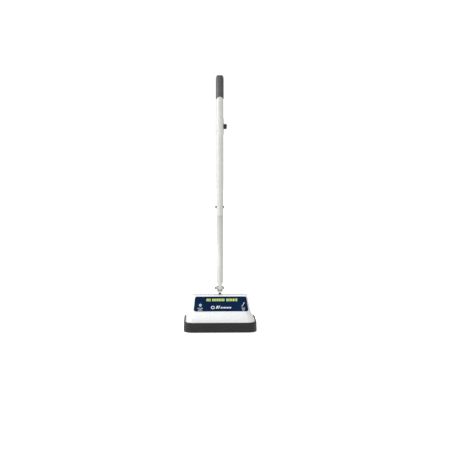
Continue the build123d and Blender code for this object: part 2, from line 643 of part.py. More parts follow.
with BuildPart() as pivot_fork:
    with BuildSketch(facing_right(-ARM_OUT, 0, 0)):
        with BuildLine():
            Line((-ARM_HALF_DEPTH, PIVOT_Z), (-ARM_HALF_DEPTH, FORK_SADDLE_Z - 3))
            Line((-ARM_HALF_DEPTH, FORK_SADDLE_Z - 3), (-FOOT_R, FORK_FOOT_Z))
            Line((-FOOT_R, FORK_FOOT_Z), (FOOT_R, FORK_FOOT_Z))
            Line((FOOT_R, FORK_FOOT_Z), (ARM_HALF_DEPTH, FORK_SADDLE_Z - 3))
            Line((ARM_HALF_DEPTH, FORK_SADDLE_Z - 3), (ARM_HALF_DEPTH, PIVOT_Z))
            ThreePointArc(
                (ARM_HALF_DEPTH, PIVOT_Z), (0, PIVOT_Z + ARM_HALF_DEPTH), (-ARM_HALF_DEPTH, PIVOT_Z)
            )
        make_face()
    extrude(amount=2 * ARM_OUT)
    with BuildSketch(facing_front(0, 20, 0)):
        with BuildLine():
            Polyline(
                (-20, FORK_FOOT_Z), (-FOOT_R, FORK_FOOT_Z), (-ARM_OUT, FORK_SADDLE_Z + 1),
                (-20, FORK_SADDLE_Z + 1), close=True,
            )
        make_face()
        mirror(about=Plane.YZ)
    extrude(amount=40, mode=Mode.SUBTRACT)
    with BuildSketch(level(FORK_SADDLE_Z)):
        Rectangle(2 * ARM_IN, 40)
    extrude(amount=60, mode=Mode.SUBTRACT)
    cross_hole(PIVOT_BOLT_R, PIVOT_Z)
    disc(FORK_FOOT_Z, 9, STUD_R - 1, mode=Mode.SUBTRACT)
finish(pivot_fork, "pivot_fork")

with BuildPart() as friction_washers:
    for side in (-1, 1):
        with BuildSketch(facing_right(side * WASHER_IN, 0, PIVOT_Z)):
            Circle(11)
            Circle(PIVOT_BOLT_R, mode=Mode.SUBTRACT)
        extrude(amount=side * (ARM_IN - WASHER_IN))
finish(friction_washers, "friction_washers")


def cross_bolt(z, shank, reach, head_r, head_t, tail):
    """Hexagon bolt along X with its head on the right and its thread end on the left."""
    with BuildSketch(facing_right(reach, 0, z)) as head:
        RegularPolygon(head_r, 6)
    extrude(head.sketch, amount=head_t)
    with BuildSketch(facing_right(reach, 0, z)) as rod:
        Circle(shank)
    extrude(rod.sketch, amount=-(2 * reach + tail))


def cross_nut(z, bore, reach, nut_r, nut_t):
    """Hexagon nut on the left end of a cross bolt."""
    with BuildSketch(facing_right(-reach, 0, z)) as outline:
        RegularPolygon(nut_r, 6)
        Circle(bore, mode=Mode.SUBTRACT)
    extrude(outline.sketch, amount=-nut_t)


with BuildPart() as pivot_bolt:
    cross_bolt(PIVOT_Z, PIVOT_BOLT_R, ARM_OUT, 7.2, 4.6, 8)
finish(pivot_bolt, "pivot_bolt")

with BuildPart() as pivot_nut:
    cross_nut(PIVOT_Z, PIVOT_BOLT_R, ARM_OUT, 7.2, 6.5)
finish(pivot_nut, "pivot_nut")

with BuildPart() as fork_stud:
    disc(PLATE_Z - 9, FORK_FOOT_Z + 9 - PLATE_Z + 9, STUD_R - 1)
finish(fork_stud, "fork_stud")

with BuildPart() as fork_grommet:
    ring(ROOF_Z - 4, FORK_FOOT_Z - ROOF_Z + 4, STUD_R + 0.1, STUD_R - 1)
    ring(ROOF_Z, FORK_FOOT_Z - ROOF_Z, STUD_R + 1.2, STUD_R - 1)
finish(fork_grommet, "fork_grommet")

with BuildPart() as fork_backing_plate:
    with BuildSketch(level(PLATE_Z)):
        RectangleRounded(90, 40, 5)
        Circle(STUD_R - 1, mode=Mode.SUBTRACT)
    extrude(amount=PLATE_T)
finish(fork_backing_plate, "fork_backing_plate")

with BuildPart() as fork_nut:
    with BuildSketch(level(PLATE_Z)):
        RegularPolygon(9.5, 6)
        Circle(STUD_R - 1, mode=Mode.SUBTRACT)
    extrude(amount=-7)
finish(fork_nut, "fork_nut")

# ---- handle tubes --------------------------------------------------------------------------------------

FLAT_Z, ROUND_Z, NECK_Z = 212.0, 225.0, 225.0
BUSH_R = 6.0
SWAGE_R = TUBE_R - TUBE_WALL - 0.1
JOINT_BOLT_R = 3.0


def tongue():
    """Tube end flattened onto a solid plug, lofted up to the round tube."""
    low_z = PIVOT_Z - TONGUE_R - 5
    with BuildSketch(level(low_z)) as foot:
        SlotOverall(TONGUE_D, TONGUE_W, rotation=90)
    extrude(foot.sketch, amount=FLAT_Z - low_z)
    with BuildSketch(level(FLAT_Z)) as flat:
        SlotOverall(TONGUE_D, TONGUE_W, rotation=90)
    with BuildSketch(level(ROUND_Z)) as round_end:
        Circle(TUBE_R)
    loft([flat.sketch.face(), round_end.sketch.face()])


with BuildPart() as lower_tube:
    tongue()
    disc(ROUND_Z, JOINT_Z - ROUND_Z - 0.6, TUBE_R)
    disc(JOINT_Z - 0.6, JOINT_OVERLAP + 0.6, SWAGE_R)
    disc(ROUND_Z + 4, JOINT_Z - ROUND_Z - 4, TUBE_R - TUBE_WALL - 1.6, mode=Mode.SUBTRACT)
    disc(ROUND_Z + 4, JOINT_Z - ROUND_Z - 10, TUBE_R - TUBE_WALL, mode=Mode.SUBTRACT)
    disc(JOINT_Z - 1, JOINT_OVERLAP + 2, SWAGE_R - TUBE_WALL, mode=Mode.SUBTRACT)
    with BuildSketch(facing_right(-30, 0, 0)):
        with BuildLine():
            Polyline(
                (-TONGUE_D, NECK_Z), (-TONGUE_D / 2, NECK_Z), (-TONGUE_R, PIVOT_Z), (0, PIVOT_Z),
                (TONGUE_R, PIVOT_Z), (TONGUE_D / 2, NECK_Z), (TONGUE_D, NECK_Z),
                (TONGUE_D, PIVOT_Z - 40), (-TONGUE_D, PIVOT_Z - 40), close=True,
            )
        make_face()
        with Locations((0, PIVOT_Z)):
            Circle(TONGUE_R, mode=Mode.SUBTRACT)
    extrude(amount=60, mode=Mode.SUBTRACT)
    cross_hole(BUSH_R, PIVOT_Z)
    cross_hole(JOINT_BOLT_R, JOINT_BOLT_Z)
finish(lower_tube, "lower_tube")

with BuildPart() as pivot_bush:
    with BuildSketch(facing_right(-TONGUE_W / 2, 0, PIVOT_Z)):
        Circle(BUSH_R)
        Circle(PIVOT_BOLT_R + 0.06, mode=Mode.SUBTRACT)
    extrude(amount=TONGUE_W)
finish(pivot_bush, "pivot_bush")

TUBE_TOP = HANDLE_TOP - 14

with BuildPart() as upper_tube:
    ring(JOINT_Z, TUBE_TOP - JOINT_Z, TUBE_R, TUBE_R - TUBE_WALL)
    cross_hole(JOINT_BOLT_R, JOINT_BOLT_Z)
    with BuildSketch(facing_right(0, 0, SWITCH_Z)):
        Rectangle(14.2, 22.2)
    extrude(amount=20, mode=Mode.SUBTRACT)
    with BuildSketch(facing_front(0, 0, GLAND_Z)):
        Circle(5.5)
    extrude(amount=-20, mode=Mode.SUBTRACT)
    for z in (CASE_BOTTOM + 28, CASE_TOP - 12):
        with BuildSketch(facing_front(0, 20, z)):
            Circle(1.3)
        extrude(amount=40, mode=Mode.SUBTRACT)
finish(upper_tube, "upper_tube")

with BuildPart() as joint_bolt:
    cross_bolt(JOINT_BOLT_Z, JOINT_BOLT_R, TUBE_R, 6.2, 3.6, 6.5)
finish(joint_bolt, "joint_bolt")

with BuildPart() as joint_nut:
    cross_nut(JOINT_BOLT_Z, JOINT_BOLT_R, TUBE_R, 6.2, 5.2)
finish(joint_nut, "joint_nut")

# ---- grip ------------------------------------------------------------------------------------------------

ARCH_RISE = 10.0
ARCH_R = (GRIP_R**2 + ARCH_RISE**2) / (2 * ARCH_RISE)
CROWN_R, CROWN_H = 9.0, 24.0

with BuildPart() as grip:
    with BuildSketch(Plane.XZ):
        with BuildLine():
            Line((0, GRIP_BOTTOM), (GRIP_R, GRIP_BOTTOM))
            Line((GRIP_R, GRIP_BOTTOM), (GRIP_R, HANDLE_TOP - CROWN_H))
            Bezier((GRIP_R, HANDLE_TOP - CROWN_H), (GRIP_R, HANDLE_TOP), (CROWN_R, HANDLE_TOP))
            Line((CROWN_R, HANDLE_TOP), (0, HANDLE_TOP))
            Line((0, HANDLE_TOP), (0, GRIP_BOTTOM))
        make_face()
    revolve(axis=Axis.Z)
    disc(GRIP_BOTTOM, TUBE_TOP - GRIP_BOTTOM, TUBE_R, mode=Mode.SUBTRACT)
    with BuildSketch(facing_front(0, 30, GRIP_BOTTOM + ARCH_RISE - ARCH_R)):
        Circle(ARCH_R)
    extrude(amount=60, mode=Mode.SUBTRACT)
finish(grip, "grip")

# ---- switch case, switch and cord gland -----------------------------------------------------------------------

BEZEL_W, BEZEL_H, BEZEL_OUT = 17.0, 24.0, 31.5
GLAND_R, GLAND_OUT, CORD_R = 7.5, 31.0, 4.0
SOCKET_W, SOCKET_H = 13.0, 17.6
CASE_SCREWS_Z = (CASE_BOTTOM + 28, CASE_TOP - 12)

for half, turn in (("front", -1), ("rear", 1)):
    with BuildPart() as case_half:
        with BuildSketch(Plane.XZ):
            with BuildLine():
                Polyline(
                    (TUBE_R, CASE_BOTTOM), (TUBE_R + 1.2, CASE_BOTTOM), (CASE_R, CASE_BOTTOM + 7),
                    (CASE_R, CASE_TOP - 9), (TUBE_R + 1.0, CASE_TOP), (TUBE_R, CASE_TOP), close=True,
                )
            make_face()
        revolve(axis=Axis.Z)
        with BuildSketch(facing_right(0, 0, SWITCH_Z)):
            Rectangle(BEZEL_W + 0.4, BEZEL_H + 0.4)
        extrude(amount=40, mode=Mode.SUBTRACT)
        for z in CASE_SCREWS_Z:
            with BuildSketch(facing_front(0, 40, z)):
                Circle(1.3)
            extrude(amount=39.2 + CASE_R, mode=Mode.SUBTRACT)
        with BuildSketch(facing_front(0, 0, GLAND_Z)):
            Circle(6.2)
        extrude(amount=-40, mode=Mode.SUBTRACT)
        with BuildSketch(facing_front(0, 0, SWITCH_Z)):
            Rectangle(60, 120)
        extrude(amount=turn * 40, mode=Mode.SUBTRACT)
    finish(case_half, f"switch_case_{half}")

with BuildPart() as case_screws:
    for z in CASE_SCREWS_Z:
        with BuildSketch(facing_front(0, CASE_R, z)):
            Circle(3.0)
        extrude(amount=-1.8)
        with BuildSketch(facing_front(0, CASE_R, z)):
            Circle(1.3)
        extrude(amount=2 * CASE_R - 0.8)
        with BuildSketch(facing_front(0, CASE_R + 1.8, z)):
            Rectangle(3.6, 0.7)
            Rectangle(0.7, 3.6)
        extrude(amount=1.0, mode=Mode.SUBTRACT)
finish(case_screws, "switch_case_screws")

with BuildPart() as switch_bezel:
    with BuildSketch(facing_right(TUBE_R + 0.2, 0, SWITCH_Z)):
        RectangleRounded(BEZEL_W, BEZEL_H, 2.0)
        Rectangle(SOCKET_W + 0.6, SOCKET_H + 0.6, mode=Mode.SUBTRACT)
    extrude(amount=BEZEL_OUT - TUBE_R - 0.2)
    chamfer(switch_bezel.faces().sort_by(Axis.X)[-1].outer_wire().edges(), 0.8)
finish(switch_bezel, "switch_bezel")

ROCK_X = 26.0

with BuildPart() as switch_body:
    with BuildSketch(facing_right(-6, 0, SWITCH_Z)):
        Rectangle(SOCKET_W + 0.6, SOCKET_H + 0.6)
    extrude(amount=ROCK_X - 4 + 6)
    with BuildSketch(facing_right(-12, 0, SWITCH_Z)):
        with Locations((0, -7), (4, 0), (0, 7)):
            Rectangle(5, 0.8)
    extrude(amount=6)
    with BuildSketch(facing_front(ROCK_X, 0, SWITCH_Z)):
        Circle(9.0)
    extrude(amount=30, both=True, mode=Mode.SUBTRACT)
finish(switch_body, "switch_body")

ROCKER_OUT, ROCKER_TILT = 35.0, 7.0

with BuildPart() as rocker_level:
    with BuildSketch(facing_front(ROCK_X, SOCKET_W / 2, SWITCH_Z)):
        with BuildLine():
            Polyline(
                (-4, -4.5), (0, -7.4), (ROCKER_OUT - ROCK_X - 1.2, -7.8), (ROCKER_OUT - ROCK_X - 2.4, 0),
                (ROCKER_OUT - ROCK_X - 1.2, 7.8), (0, 7.4), (-4, 4.5), close=True,
            )
        make_face()
    extrude(amount=SOCKET_W)
    fillet(rocker_level.edges().filter_by(Axis.Y).sort_by(Axis.X)[-3:], 1.2)

with BuildPart() as switch_rocker:
    add(rocker_level.part.rotate(Axis((ROCK_X, 0, SWITCH_Z), (0, 1, 0)), ROCKER_TILT))
finish(switch_rocker, "switch_rocker")

with BuildPart() as cord_gland:
    with BuildSketch(facing_front(0, 13.0, GLAND_Z)):
        Circle(5.4)
    extrude(amount=-3.2)
    with BuildSketch(facing_front(0, 16.2, GLAND_Z)):
        Circle(6.1)
    extrude(amount=-2.6)
    with BuildSketch(facing_front(0, CASE_R + 0.1, GLAND_Z)):
        Circle(GLAND_R)
    extrude(amount=-(GLAND_OUT - CASE_R - 0.1), taper=-6)
    with BuildSketch(facing_front(0, 12, GLAND_Z)):
        Circle(CORD_R)
    extrude(amount=-(GLAND_OUT - 11), mode=Mode.SUBTRACT)
finish(cord_gland, "cord_gland")

print("spindle spacing", 2 * SPINDLE_X, "gear line y", round(MID_Y, 3), "motor y", round(MOTOR_Y, 3))
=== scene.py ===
import json
import math

import bmesh
import bpy
import numpy as np
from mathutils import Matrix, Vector

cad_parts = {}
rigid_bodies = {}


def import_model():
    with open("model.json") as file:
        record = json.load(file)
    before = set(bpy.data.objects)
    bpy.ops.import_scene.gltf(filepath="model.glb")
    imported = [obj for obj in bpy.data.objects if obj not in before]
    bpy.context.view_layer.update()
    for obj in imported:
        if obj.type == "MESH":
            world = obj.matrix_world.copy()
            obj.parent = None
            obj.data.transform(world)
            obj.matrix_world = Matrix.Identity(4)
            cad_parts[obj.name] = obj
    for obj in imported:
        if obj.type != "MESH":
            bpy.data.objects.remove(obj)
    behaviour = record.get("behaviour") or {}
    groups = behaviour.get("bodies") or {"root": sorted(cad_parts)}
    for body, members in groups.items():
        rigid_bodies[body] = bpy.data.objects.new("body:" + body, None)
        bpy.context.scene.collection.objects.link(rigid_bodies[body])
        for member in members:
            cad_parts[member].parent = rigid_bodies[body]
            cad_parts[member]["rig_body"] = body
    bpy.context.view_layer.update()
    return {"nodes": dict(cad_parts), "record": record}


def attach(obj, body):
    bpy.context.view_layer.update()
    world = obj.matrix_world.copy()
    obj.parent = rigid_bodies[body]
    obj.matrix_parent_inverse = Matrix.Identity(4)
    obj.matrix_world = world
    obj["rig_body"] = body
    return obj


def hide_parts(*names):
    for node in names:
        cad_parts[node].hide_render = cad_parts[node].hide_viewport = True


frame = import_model()
nodes = frame["nodes"]
MM = 0.001
TAU = 2 * math.pi

# ---- sizes the visible pieces share with the frame, in millimetres -------------------------------

BUMPER_LOW, BUMPER_TOP, BUMPER_TAPER = 5.0, 51.0, math.tan(math.radians(1.5))
BUMPER_W, BUMPER_D, BUMPER_R, BUMPER_WALL = 345.0, 249.0, 44.0, 12.0
BUMPER_FOOT_ROUND, BUMPER_TOP_ROUND, BUMPER_GROOVE = 2.5, 3.0, 1.1
FLANGE, FLANGE_ROUND = (324.0, 238.0, 36.0), 2.2
HIP_LOW = (58.0, 317.0, 223.0, 30.0)  # where the wall leaves the flange: z, width, depth, corner radius
HIP = (97.0, 286.0, 194.0, 27.0)  # where wall and panel meet
ROOF = (167.0, 260.0, 66.0, 16.0)
BEND_BELOW_HIP, BEND_ABOVE_HIP = 0.15, 0.06  # shares of the runs that the bend at the hip takes up
HOUSING_WALL, STUD_HOLE_R = 3.0, 5.1
VENT_ROWS, VENT_PITCH, VENT_W, VENT_LENGTH, VENT_X, VENT_LOW_SHARE = 7, 9.0, 3.2, 62.0, 62.0, 0.22
SLOPE = math.atan2(ROOF[0] - HIP[0], (HIP[2] - ROOF[2]) / 2)
LABEL_SHARE, LABEL_T, INK_T = 0.49, 0.8, 0.05
TUBE_R, GRIP_R, GRIP_LOW, GRIP_TOP, GRIP_ARCH = 15.9, 18.2, 1093.0, 1204.0, 10.0
CROWN_R, CROWN_H, GRIP_END_T = 9.0, 24.0, 14.0
SPINDLE_X, BRISTLE_H, BRUSH_R, BRUSH_IN_R = 80.0, 22.0, 76.0, 46.0
TUFT_RINGS, TUFT_IN_R, TUFT_OUT_R, TUFT_PITCH, TUFT_R, TUFT_FILAMENTS = 6, 49.5, 69.0, 5.2, 1.25, 9

# ---- mesh helpers --------------------------------------------------------------------------------


def piece_from(name, points, faces, body, stands_for=(), sharp=35):
    """Object from points in millimetres and faces, turned so that it encloses a positive volume."""
    points = np.asarray(points, dtype=float) * MM
    mesh = bpy.data.meshes.new(name)
    mesh.from_pydata(points.tolist(), [], faces)
    work = bmesh.new()
    work.from_mesh(mesh)
    bmesh.ops.remove_doubles(work, verts=work.verts, dist=1e-6)
    if work.calc_volume(signed=True) < 0:
        bmesh.ops.reverse_faces(work, faces=work.faces)
    work.to_mesh(mesh)
    work.free()
    return place(name, mesh, body, stands_for, sharp)


def place(name, mesh, body, stands_for=(), sharp=35):
    """Links a mesh as a smooth piece with creases above an angle, and hangs it on its body."""
    mesh.shade_smooth()
    mesh.set_sharp_from_angle(angle=math.radians(sharp))
    piece = bpy.data.objects.new(name, mesh)
    bpy.context.scene.collection.objects.link(piece)
    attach(piece, body)
    if stands_for:
        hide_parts(*stands_for)
    return piece


def grid_faces(rows, columns):
    """Quads between neighbours of a rows by columns grid that closes both ways, as index lists."""
    i = np.arange(rows)[:, None]
    j = np.arange(columns)[None, :]
    i2, j2 = (i + 1) % rows, (j + 1) % columns
    quads = np.stack([i * columns + j, i * columns + j2, i2 * columns + j2, i2 * columns + j], axis=-1)
    return quads.reshape(-1, 4).tolist()


def rounded_outline(width, depth, radius, arc=14, lead=2.5):
    """Rounded rectangle: four quarter circles about inset corners, plus a point just past each arc."""
    parts = []
    for k in range(4):
        a = (k + np.linspace(0, 1, arc + 1)) * math.pi / 2
        sx, sy = (1, -1, -1, 1)[k], (1, 1, -1, -1)[k]
        corner = np.array([sx * (width / 2 - radius), sy * (depth / 2 - radius)])
        curve = corner + radius * np.stack([np.cos(a), np.sin(a)], axis=1)
        along = (np.array([0, 1.0]), np.array([-1.0, 0]), np.array([0, -1.0]), np.array([1.0, 0]))[k]
        after = (np.array([-1.0, 0]), np.array([0, -1.0]), np.array([1.0, 0]), np.array([0, 1.0]))[k]
        reach_in = min(lead, (depth if k % 2 == 0 else width) / 2 - radius)
        reach_out = min(lead, (width if k % 2 == 0 else depth) / 2 - radius)
        parts += [(curve[0] - along * reach_in)[None], curve, (curve[-1] + after * reach_out)[None]]
    return np.concatenate(parts)


def rings_at(levels):
    """Stack of rounded outlines, one for each (z, width, depth, radius)."""
    rings = []
    for z, width, depth, radius in levels:
        flat = rounded_outline(width, depth, radius)
        rings.append(np.column_stack([flat, np.full(len(flat), z)]))
    return np.stack(rings)


def merged_copy(node, bevel=0.0, sharp=32):
    """CAD node with its loose triangles joined and smoothed, and its hard edges broken if asked."""
    source = nodes[node]
    mesh = source.data.copy()
    mesh.materials.clear()
    work = bmesh.new()
    work.from_mesh(mesh)
    bmesh.ops.remove_doubles(work, verts=work.verts, dist=2e-6)
    if bevel:
        bmesh.ops.dissolve_limit(work, angle_limit=math.radians(1), verts=work.verts, edges=work.edges)
    work.to_mesh(mesh)
    work.free()
    piece = place(f"{node}_finished", mesh, source["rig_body"], (node,), sharp)
    if bevel:
        edge = piece.modifiers.new("broken edges", "BEVEL")
        edge.width = bevel * MM
        edge.segments = 2
        edge.limit_method = "ANGLE"
        edge.angle_limit = math.radians(40)
    return piece


def bent(low, corner, high, share_low, share_high, steps):
    """Quadratic bend near a corner between two straight runs: start, pulled to the corner, end."""
    low, corner, high = np.array(low), np.array(corner), np.array(high)
    start, end = corner + share_low * (low - corner), corner + share_high * (high - corner)
    t = np.linspace(0, 1, steps + 1)[:, None]
    return [tuple(row) for row in (1 - t) ** 2 * start + 2 * t * (1 - t) * corner + t**2 * end]


def between(start, end, shares):
    """Outlines at the given shares of the straight way from one outline to another."""
    start, end = np.array(start), np.array(end)
    return [tuple(start + share * (end - start)) for share in shares]


# ---- bumper --------------------------------------------------------------------------------------


def bumper_ring():
    """Closed section carried round the rounded rectangle: battered outside, soft lips, upright inside.

    Each row is (z, inset from the outside at floor level), and the outline shrinks by twice it.
    """
    turn = np.linspace(0, math.pi / 2, 7)
    low, high = BUMPER_FOOT_ROUND, BUMPER_TOP_ROUND
    section = [(BUMPER_LOW + low - low * math.sin(a), low - low * math.cos(a)) for a in turn[::-1]]
    section += [(z, (z - BUMPER_LOW) * BUMPER_TAPER) for z in (11.6, 26.9, 27.5)]
    groove = (28.2 - BUMPER_LOW) * BUMPER_TAPER + BUMPER_GROOVE
    section += [(27.9, groove), (28.6, groove)]
    section += [(z, (z - BUMPER_LOW) * BUMPER_TAPER) for z in (29.0, 29.6, 47.2)]
    top_in = (BUMPER_TOP - BUMPER_LOW) * BUMPER_TAPER
    section += [(BUMPER_TOP - high + high * math.sin(a), top_in + high - high * math.cos(a)) for a in turn]
    section += [(BUMPER_TOP, BUMPER_WALL - 1.2), (BUMPER_TOP - 0.4, BUMPER_WALL - 0.4)]
    section += [(BUMPER_TOP - 1.2, BUMPER_WALL), (BUMPER_TOP - 3, BUMPER_WALL), (8.0, BUMPER_WALL)]
    section += [(6.2, BUMPER_WALL), (5.4, BUMPER_WALL - 0.4), (BUMPER_LOW, BUMPER_WALL - 1.2)]
    levels = [(z, BUMPER_W - 2 * i, BUMPER_D - 2 * i, BUMPER_R - i) for z, i in section]
    rings = rings_at(levels)
    rows, columns = rings.shape[:2]
    faces = grid_faces(rows, columns)
    return piece_from("bumper_rubber_ring", rings.reshape(-1, 3), faces, "head", ("bumper",))


# ---- housing -------------------------------------------------------------------------------------


def housing_levels():
    """Outside of the housing from the flange up to the roof, as (z, width, depth, corner radius).

    A groove follows the foot of the wall. Its rows are the share of the way out from the wall to
    the flange's edge, and the drop below the ledge.
    """
    flange_w, flange_d, flange_r = FLANGE
    turn = np.linspace(0, math.pi / 2, 6)
    levels = [(BUMPER_TOP, flange_w, flange_d, flange_r), (BUMPER_TOP + 3, flange_w, flange_d, flange_r)]
    for a in turn:
        inset = FLANGE_ROUND - FLANGE_ROUND * math.cos(a)
        z = HIP_LOW[0] - FLANGE_ROUND + FLANGE_ROUND * math.sin(a)
        levels.append((z, flange_w - 2 * inset, flange_d - 2 * inset, flange_r - inset))
    edge, foot = np.array(levels[-1]), np.array(HIP_LOW)
    for share, drop in ((0.66, 0.0), (0.6, 0.4), (0.54, 2.6), (0.06, 2.8), (0.0, 2.0)):
        levels.append(tuple(foot + share * (edge - foot) - np.array([drop, 0.0, 0.0, 0.0])))
    levels += between(HIP_LOW, HIP, (0.06, 0.5, 0.8))
    levels += bent(HIP_LOW, HIP, ROOF, BEND_BELOW_HIP, BEND_ABOVE_HIP, 8)
    levels += between(HIP, ROOF, (0.1, 0.5, 0.9))
    round_end = (ROOF[0], ROOF[1] - 12.0, ROOF[2] - 7.5, ROOF[3] - 5.0)
    levels += bent(HIP, ROOF, round_end, 0.06, 1.0, 8)
    levels.append((ROOF[0], ROOF[1] - 16.0, ROOF[2] - 12.0, ROOF[3] - 7.0))
    return levels


def panel_frame(share, side):
    """Origin, across, up and outward directions of the front (side -1) or rear (1) sloping panel."""
    y = side * (HIP[2] - share * (HIP[2] - ROOF[2])) / 2
    z = HIP[0] + share * (ROOF[0] - HIP[0])
    origin = np.array([0.0, y, z])
    across = np.array([-float(side), 0.0, 0.0])
    out = np.array([0.0, side * math.sin(SLOPE), math.cos(SLOPE)])
    return origin, across, np.cross(out, across), out


def prism(outline, origin, across, up, out, low, high):
    """Flat outline on a tilted plane, carried from low to high along the plane's normal."""
    flat = origin + outline[:, :1] * across + outline[:, 1:] * up
    points = np.concatenate([flat + low * out, flat + high * out])
    n = len(outline)
    faces = [[i, (i + 1) % n, n + (i + 1) % n, n + i] for i in range(n)]
    faces += [list(range(n))[::-1], list(range(n, 2 * n))]
    return points, faces


def together(parts):
    """One set of points and faces from several."""
    points, faces, offset = [], [], 0
    for more, polygons in parts:
        points.append(more)
        faces += [[i + offset for i in polygon] for polygon in polygons]
        offset += len(more)
    return np.concatenate(points), faces


def slot_outline(length, width, steps=8):
    """Two half circles joined by straight sides."""
    a = np.linspace(-math.pi / 2, math.pi / 2, steps + 1)
    right = np.column_stack([length / 2 - width / 2 + width / 2 * np.cos(a), width / 2 * np.sin(a)])
    return np.concatenate([right, -right])


def housing_shell():
    """Moulded wall: outside rings up and in to the stud hole, then inside rings back down."""
    levels = housing_levels()
    hole = (2 * STUD_HOLE_R, 2 * STUD_HOLE_R, STUD_HOLE_R - 1e-4)
    wall2 = 2 * HOUSING_WALL
    levels.append((ROOF[0], hole[0] + 0.8, hole[1] + 0.8, hole[2] + 0.4))
    levels.append((ROOF[0] - 0.3, *hole))
    levels.append((ROOF[0] - 4, *hole))
    for z, width, depth, radius in (
        (ROOF[0] - 4, *ROOF[1:]),
        (HIP[0] - 0.8, *HIP[1:]),
        HIP_LOW,
        (BUMPER_TOP, *HIP_LOW[1:]),
    ):
        levels.append((z, width - wall2, depth - wall2, radius - HOUSING_WALL))
    rings = rings_at(levels)
    rows, columns = rings.shape[:2]
    faces = grid_faces(rows, columns)
    shell = piece_from("housing_shell", rings.reshape(-1, 3), faces, "head", ("housing",), sharp=28)
    cut_vents(shell, sharp=28)
    return shell


def cut_vents(shell, sharp):
    """Cuts the rows of slots through the rear panel, on both sides of its middle."""
    outline = slot_outline(VENT_LENGTH, VENT_W)
    slots = []
    for row in range(VENT_ROWS):
        share = VENT_LOW_SHARE + row * VENT_PITCH * math.sin(SLOPE) / (ROOF[0] - HIP[0])
        origin, across, up, out = panel_frame(share, 1)
        for x in (-VENT_X, VENT_X):
            slots.append(prism(outline, origin + np.array([x, 0, 0]), across, up, out, -9.0, 3.0))
    points, faces = together(slots)
    mesh = bpy.data.meshes.new("vent cutter")
    mesh.from_pydata((points * MM).tolist(), [], faces)
    cutter = bpy.data.objects.new("vent_cutter", mesh)
    bpy.context.scene.collection.objects.link(cutter)
    cut = shell.modifiers.new("vents", "BOOLEAN")
    cut.operation = "DIFFERENCE"
    cut.solver = "EXACT"
    cut.object = cutter
    bpy.context.view_layer.update()
    cut_mesh = bpy.data.meshes.new_from_object(shell.evaluated_get(bpy.context.evaluated_depsgraph_get()))
    shell.modifiers.clear()
    shell.data = cut_mesh
    bpy.data.objects.remove(cutter)
    cut_mesh.shade_smooth()
    cut_mesh.set_sharp_from_angle(angle=math.radians(sharp))


# ---- label print ---------------------------------------------------------------------------------


def label_print(name, outlines):
    """Thin film of ink: each outline is a flat prism standing a twentieth of a millimetre proud."""
    plane = panel_frame(LABEL_SHARE, -1)
    points, faces = together([prism(np.array(o), *plane, LABEL_T - INK_T, LABEL_T + INK_T) for o in outlines])
    return piece_from(name, points, faces, "head")


def bar(x, y, width, height, slant=0.0):
    """Upright or slanted bar about its middle, as four corners."""
    w, h = width / 2, height / 2
    return [(x - w - slant, y - h), (x + w - slant, y - h), (x + w + slant, y + h), (x - w + slant, y + h)]


def blocks(start, end, count, y, height, slant):
    """Row of small plain bars that fill a span, wide and narrow in turn."""
    share = np.array([1.0, 0.62, 0.84, 0.7, 1.0, 0.56, 0.9, 0.74])[np.arange(count) % 8]
    edges = start + (end - start) * np.concatenate([[0.0], np.cumsum(share) / share.sum()])
    return [bar((a + b) / 2, y, 0.7 * (b - a), height, slant) for a, b in zip(edges[:-1], edges[1:])]


def ring_outline(x, y, outer, inner, steps=28):
    """Ring with a hair's gap, drawn as one outline out along the rim and back along the bore."""
    a = np.linspace(0.02, TAU - 0.02, steps)
    rim = np.column_stack([x + outer * np.cos(a), y + outer * np.sin(a)])
    bore = np.column_stack([x + inner * np.cos(a), y + inner * np.sin(a)])[::-1]
    return np.concatenate([rim, bore])


# ---- grip ----------------------------------------------------------------------------------------


GRIP_LIP = 1.2  # height over which the lower lip rounds over
GROOVE_LOW = 1113.0
GROOVE = ((1113.4, 0.0), (1114.0, 0.45), (1115.6, 0.45), (1116.2, 0.0), (1117.0, 0.0))  # (z, depth)
POLE_R = 0.001


